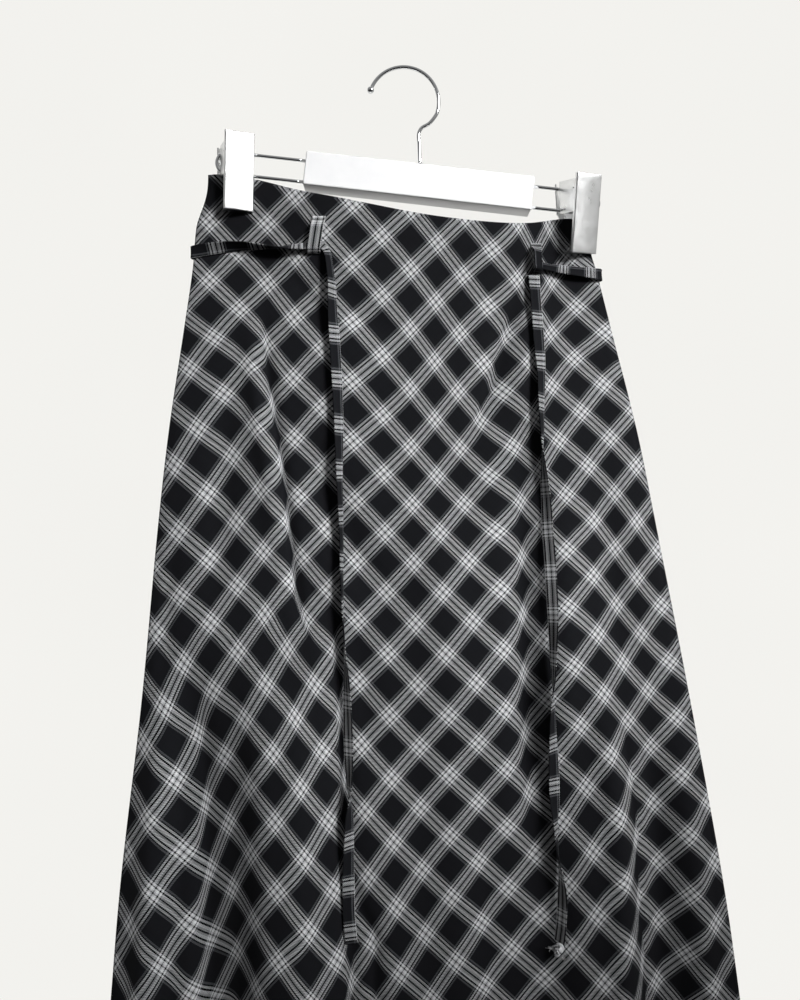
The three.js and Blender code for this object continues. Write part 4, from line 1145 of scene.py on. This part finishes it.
# %% [markdown]
# ## Backdrop and light
# The room is plain: a pale floor that curves up into a pale wall, far enough away to take no shadow. Soft
# light comes from a window beside the camera, and the room itself fills the rest, with a dim wall close on
# the right. The left clip's plate is turned to the window and mirrors it, and the right one mirrors the
# wall.

# %% Sweep of wall and floor
CREAM = (0.9, 0.893, 0.862)


def backdrop_material():
    material = bpy.data.materials.new("backdrop_paint")
    material.use_nodes = True
    tree = material.node_tree
    tree.nodes.remove(tree.nodes["Principled BSDF"])
    place = add(tree, "ShaderNodeTexCoord").outputs["Object"]
    cloudy = noise(tree, place, 0.8, 2, 0.5)
    tint = ramp(tree, cloudy, [(0.3, tuple(0.985 * c for c in CREAM)), (0.7, CREAM)])
    glow = add(tree, "ShaderNodeEmission", (tint, 1.0))
    tree.links.new(glow.outputs[0], tree.nodes["Material Output"].inputs["Surface"])
    return material


sweep = bmesh.new()
FLOOR, WALL_BACK, BEND = -1.25, 2.4, 0.8
profile = [sweep.verts.new((-4, -3, FLOOR)), sweep.verts.new((-4, WALL_BACK - BEND, FLOOR))]
edge = sweep.edges.new(profile)
arc = bmesh.ops.spin(
    sweep, geom=[profile[1]], cent=(-4, WALL_BACK - BEND, FLOOR + BEND), axis=(1, 0, 0),
    angle=math.radians(90), steps=12, use_merge=False,
)
top = [g for g in arc["geom_last"] if isinstance(g, bmesh.types.BMVert)][0]
wall_top = bmesh.ops.extrude_vert_indiv(sweep, verts=[top])["verts"]
bmesh.ops.translate(sweep, vec=(0, 0, 4), verts=wall_top)
pull_out(sweep, sweep.edges[:], (8, 0, 0))
sweep_data = bpy.data.meshes.new("backdrop")
sweep.to_mesh(sweep_data)
sweep.free()
backdrop = bpy.data.objects.new("backdrop", sweep_data)
backdrop.data.materials.append(backdrop_material())
bpy.context.scene.collection.objects.link(backdrop)
backdrop.visible_diffuse = backdrop.visible_glossy = backdrop.visible_shadow = False

# %% Window and room
WINDOW = {"at": (1.15, -1.2, 0.5), "aim": (0.06, 0, -0.3), "side": 0.8, "watts": 3.5, "spread": 25}
FLOOR_TO_CEILING = [(0.0, (0.02,) * 3), (0.46, (0.04,) * 3), (0.5, (0.2,) * 3), (1.0, (0.34,) * 3)]
BEHIND_IT, RIGHT_WALL = (0.85, 0.845, 0.82), (0.26, 0.26, 0.255)

light = bpy.data.lights.new("window", "AREA")
light.size = WINDOW["side"]
light.energy = WINDOW["watts"]
light.spread = math.radians(WINDOW["spread"])
lamp = bpy.data.objects.new("window", light)
lamp.location = WINDOW["at"]
lamp.rotation_euler = (Vector(WINDOW["aim"]) - lamp.location).to_track_quat("-Z", "Y").to_euler()
bpy.context.scene.collection.objects.link(lamp)

world = bpy.data.worlds.new("room")
bpy.context.scene.world = world
world.use_nodes = True
tree = world.node_tree
way = add(tree, "ShaderNodeTexCoord").outputs["Generated"]
aim = add(tree, "ShaderNodeSeparateXYZ", (way,)).outputs
in_front = ramp(tree, sums(tree, "MULTIPLY_ADD", aim[2], 0.5, 0.5), FLOOR_TO_CEILING)
behind = ramp(tree, aim[1], [(0.1, (0,) * 3), (0.3, (1,) * 3)])
on_right = ramp(tree, aim[0], [(0.62, (0,) * 3), (0.8, (1,) * 3)])
walled = blend(tree, on_right, blend(tree, behind, in_front, BEHIND_IT), RIGHT_WALL)
seen = add(tree, "ShaderNodeLightPath").outputs["Is Camera Ray"]
shown = blend(tree, seen, walled, CREAM)
tree.links.new(shown, tree.nodes["Background"].inputs["Color"])
bpy.context.scene.view_settings.view_transform = "Standard"
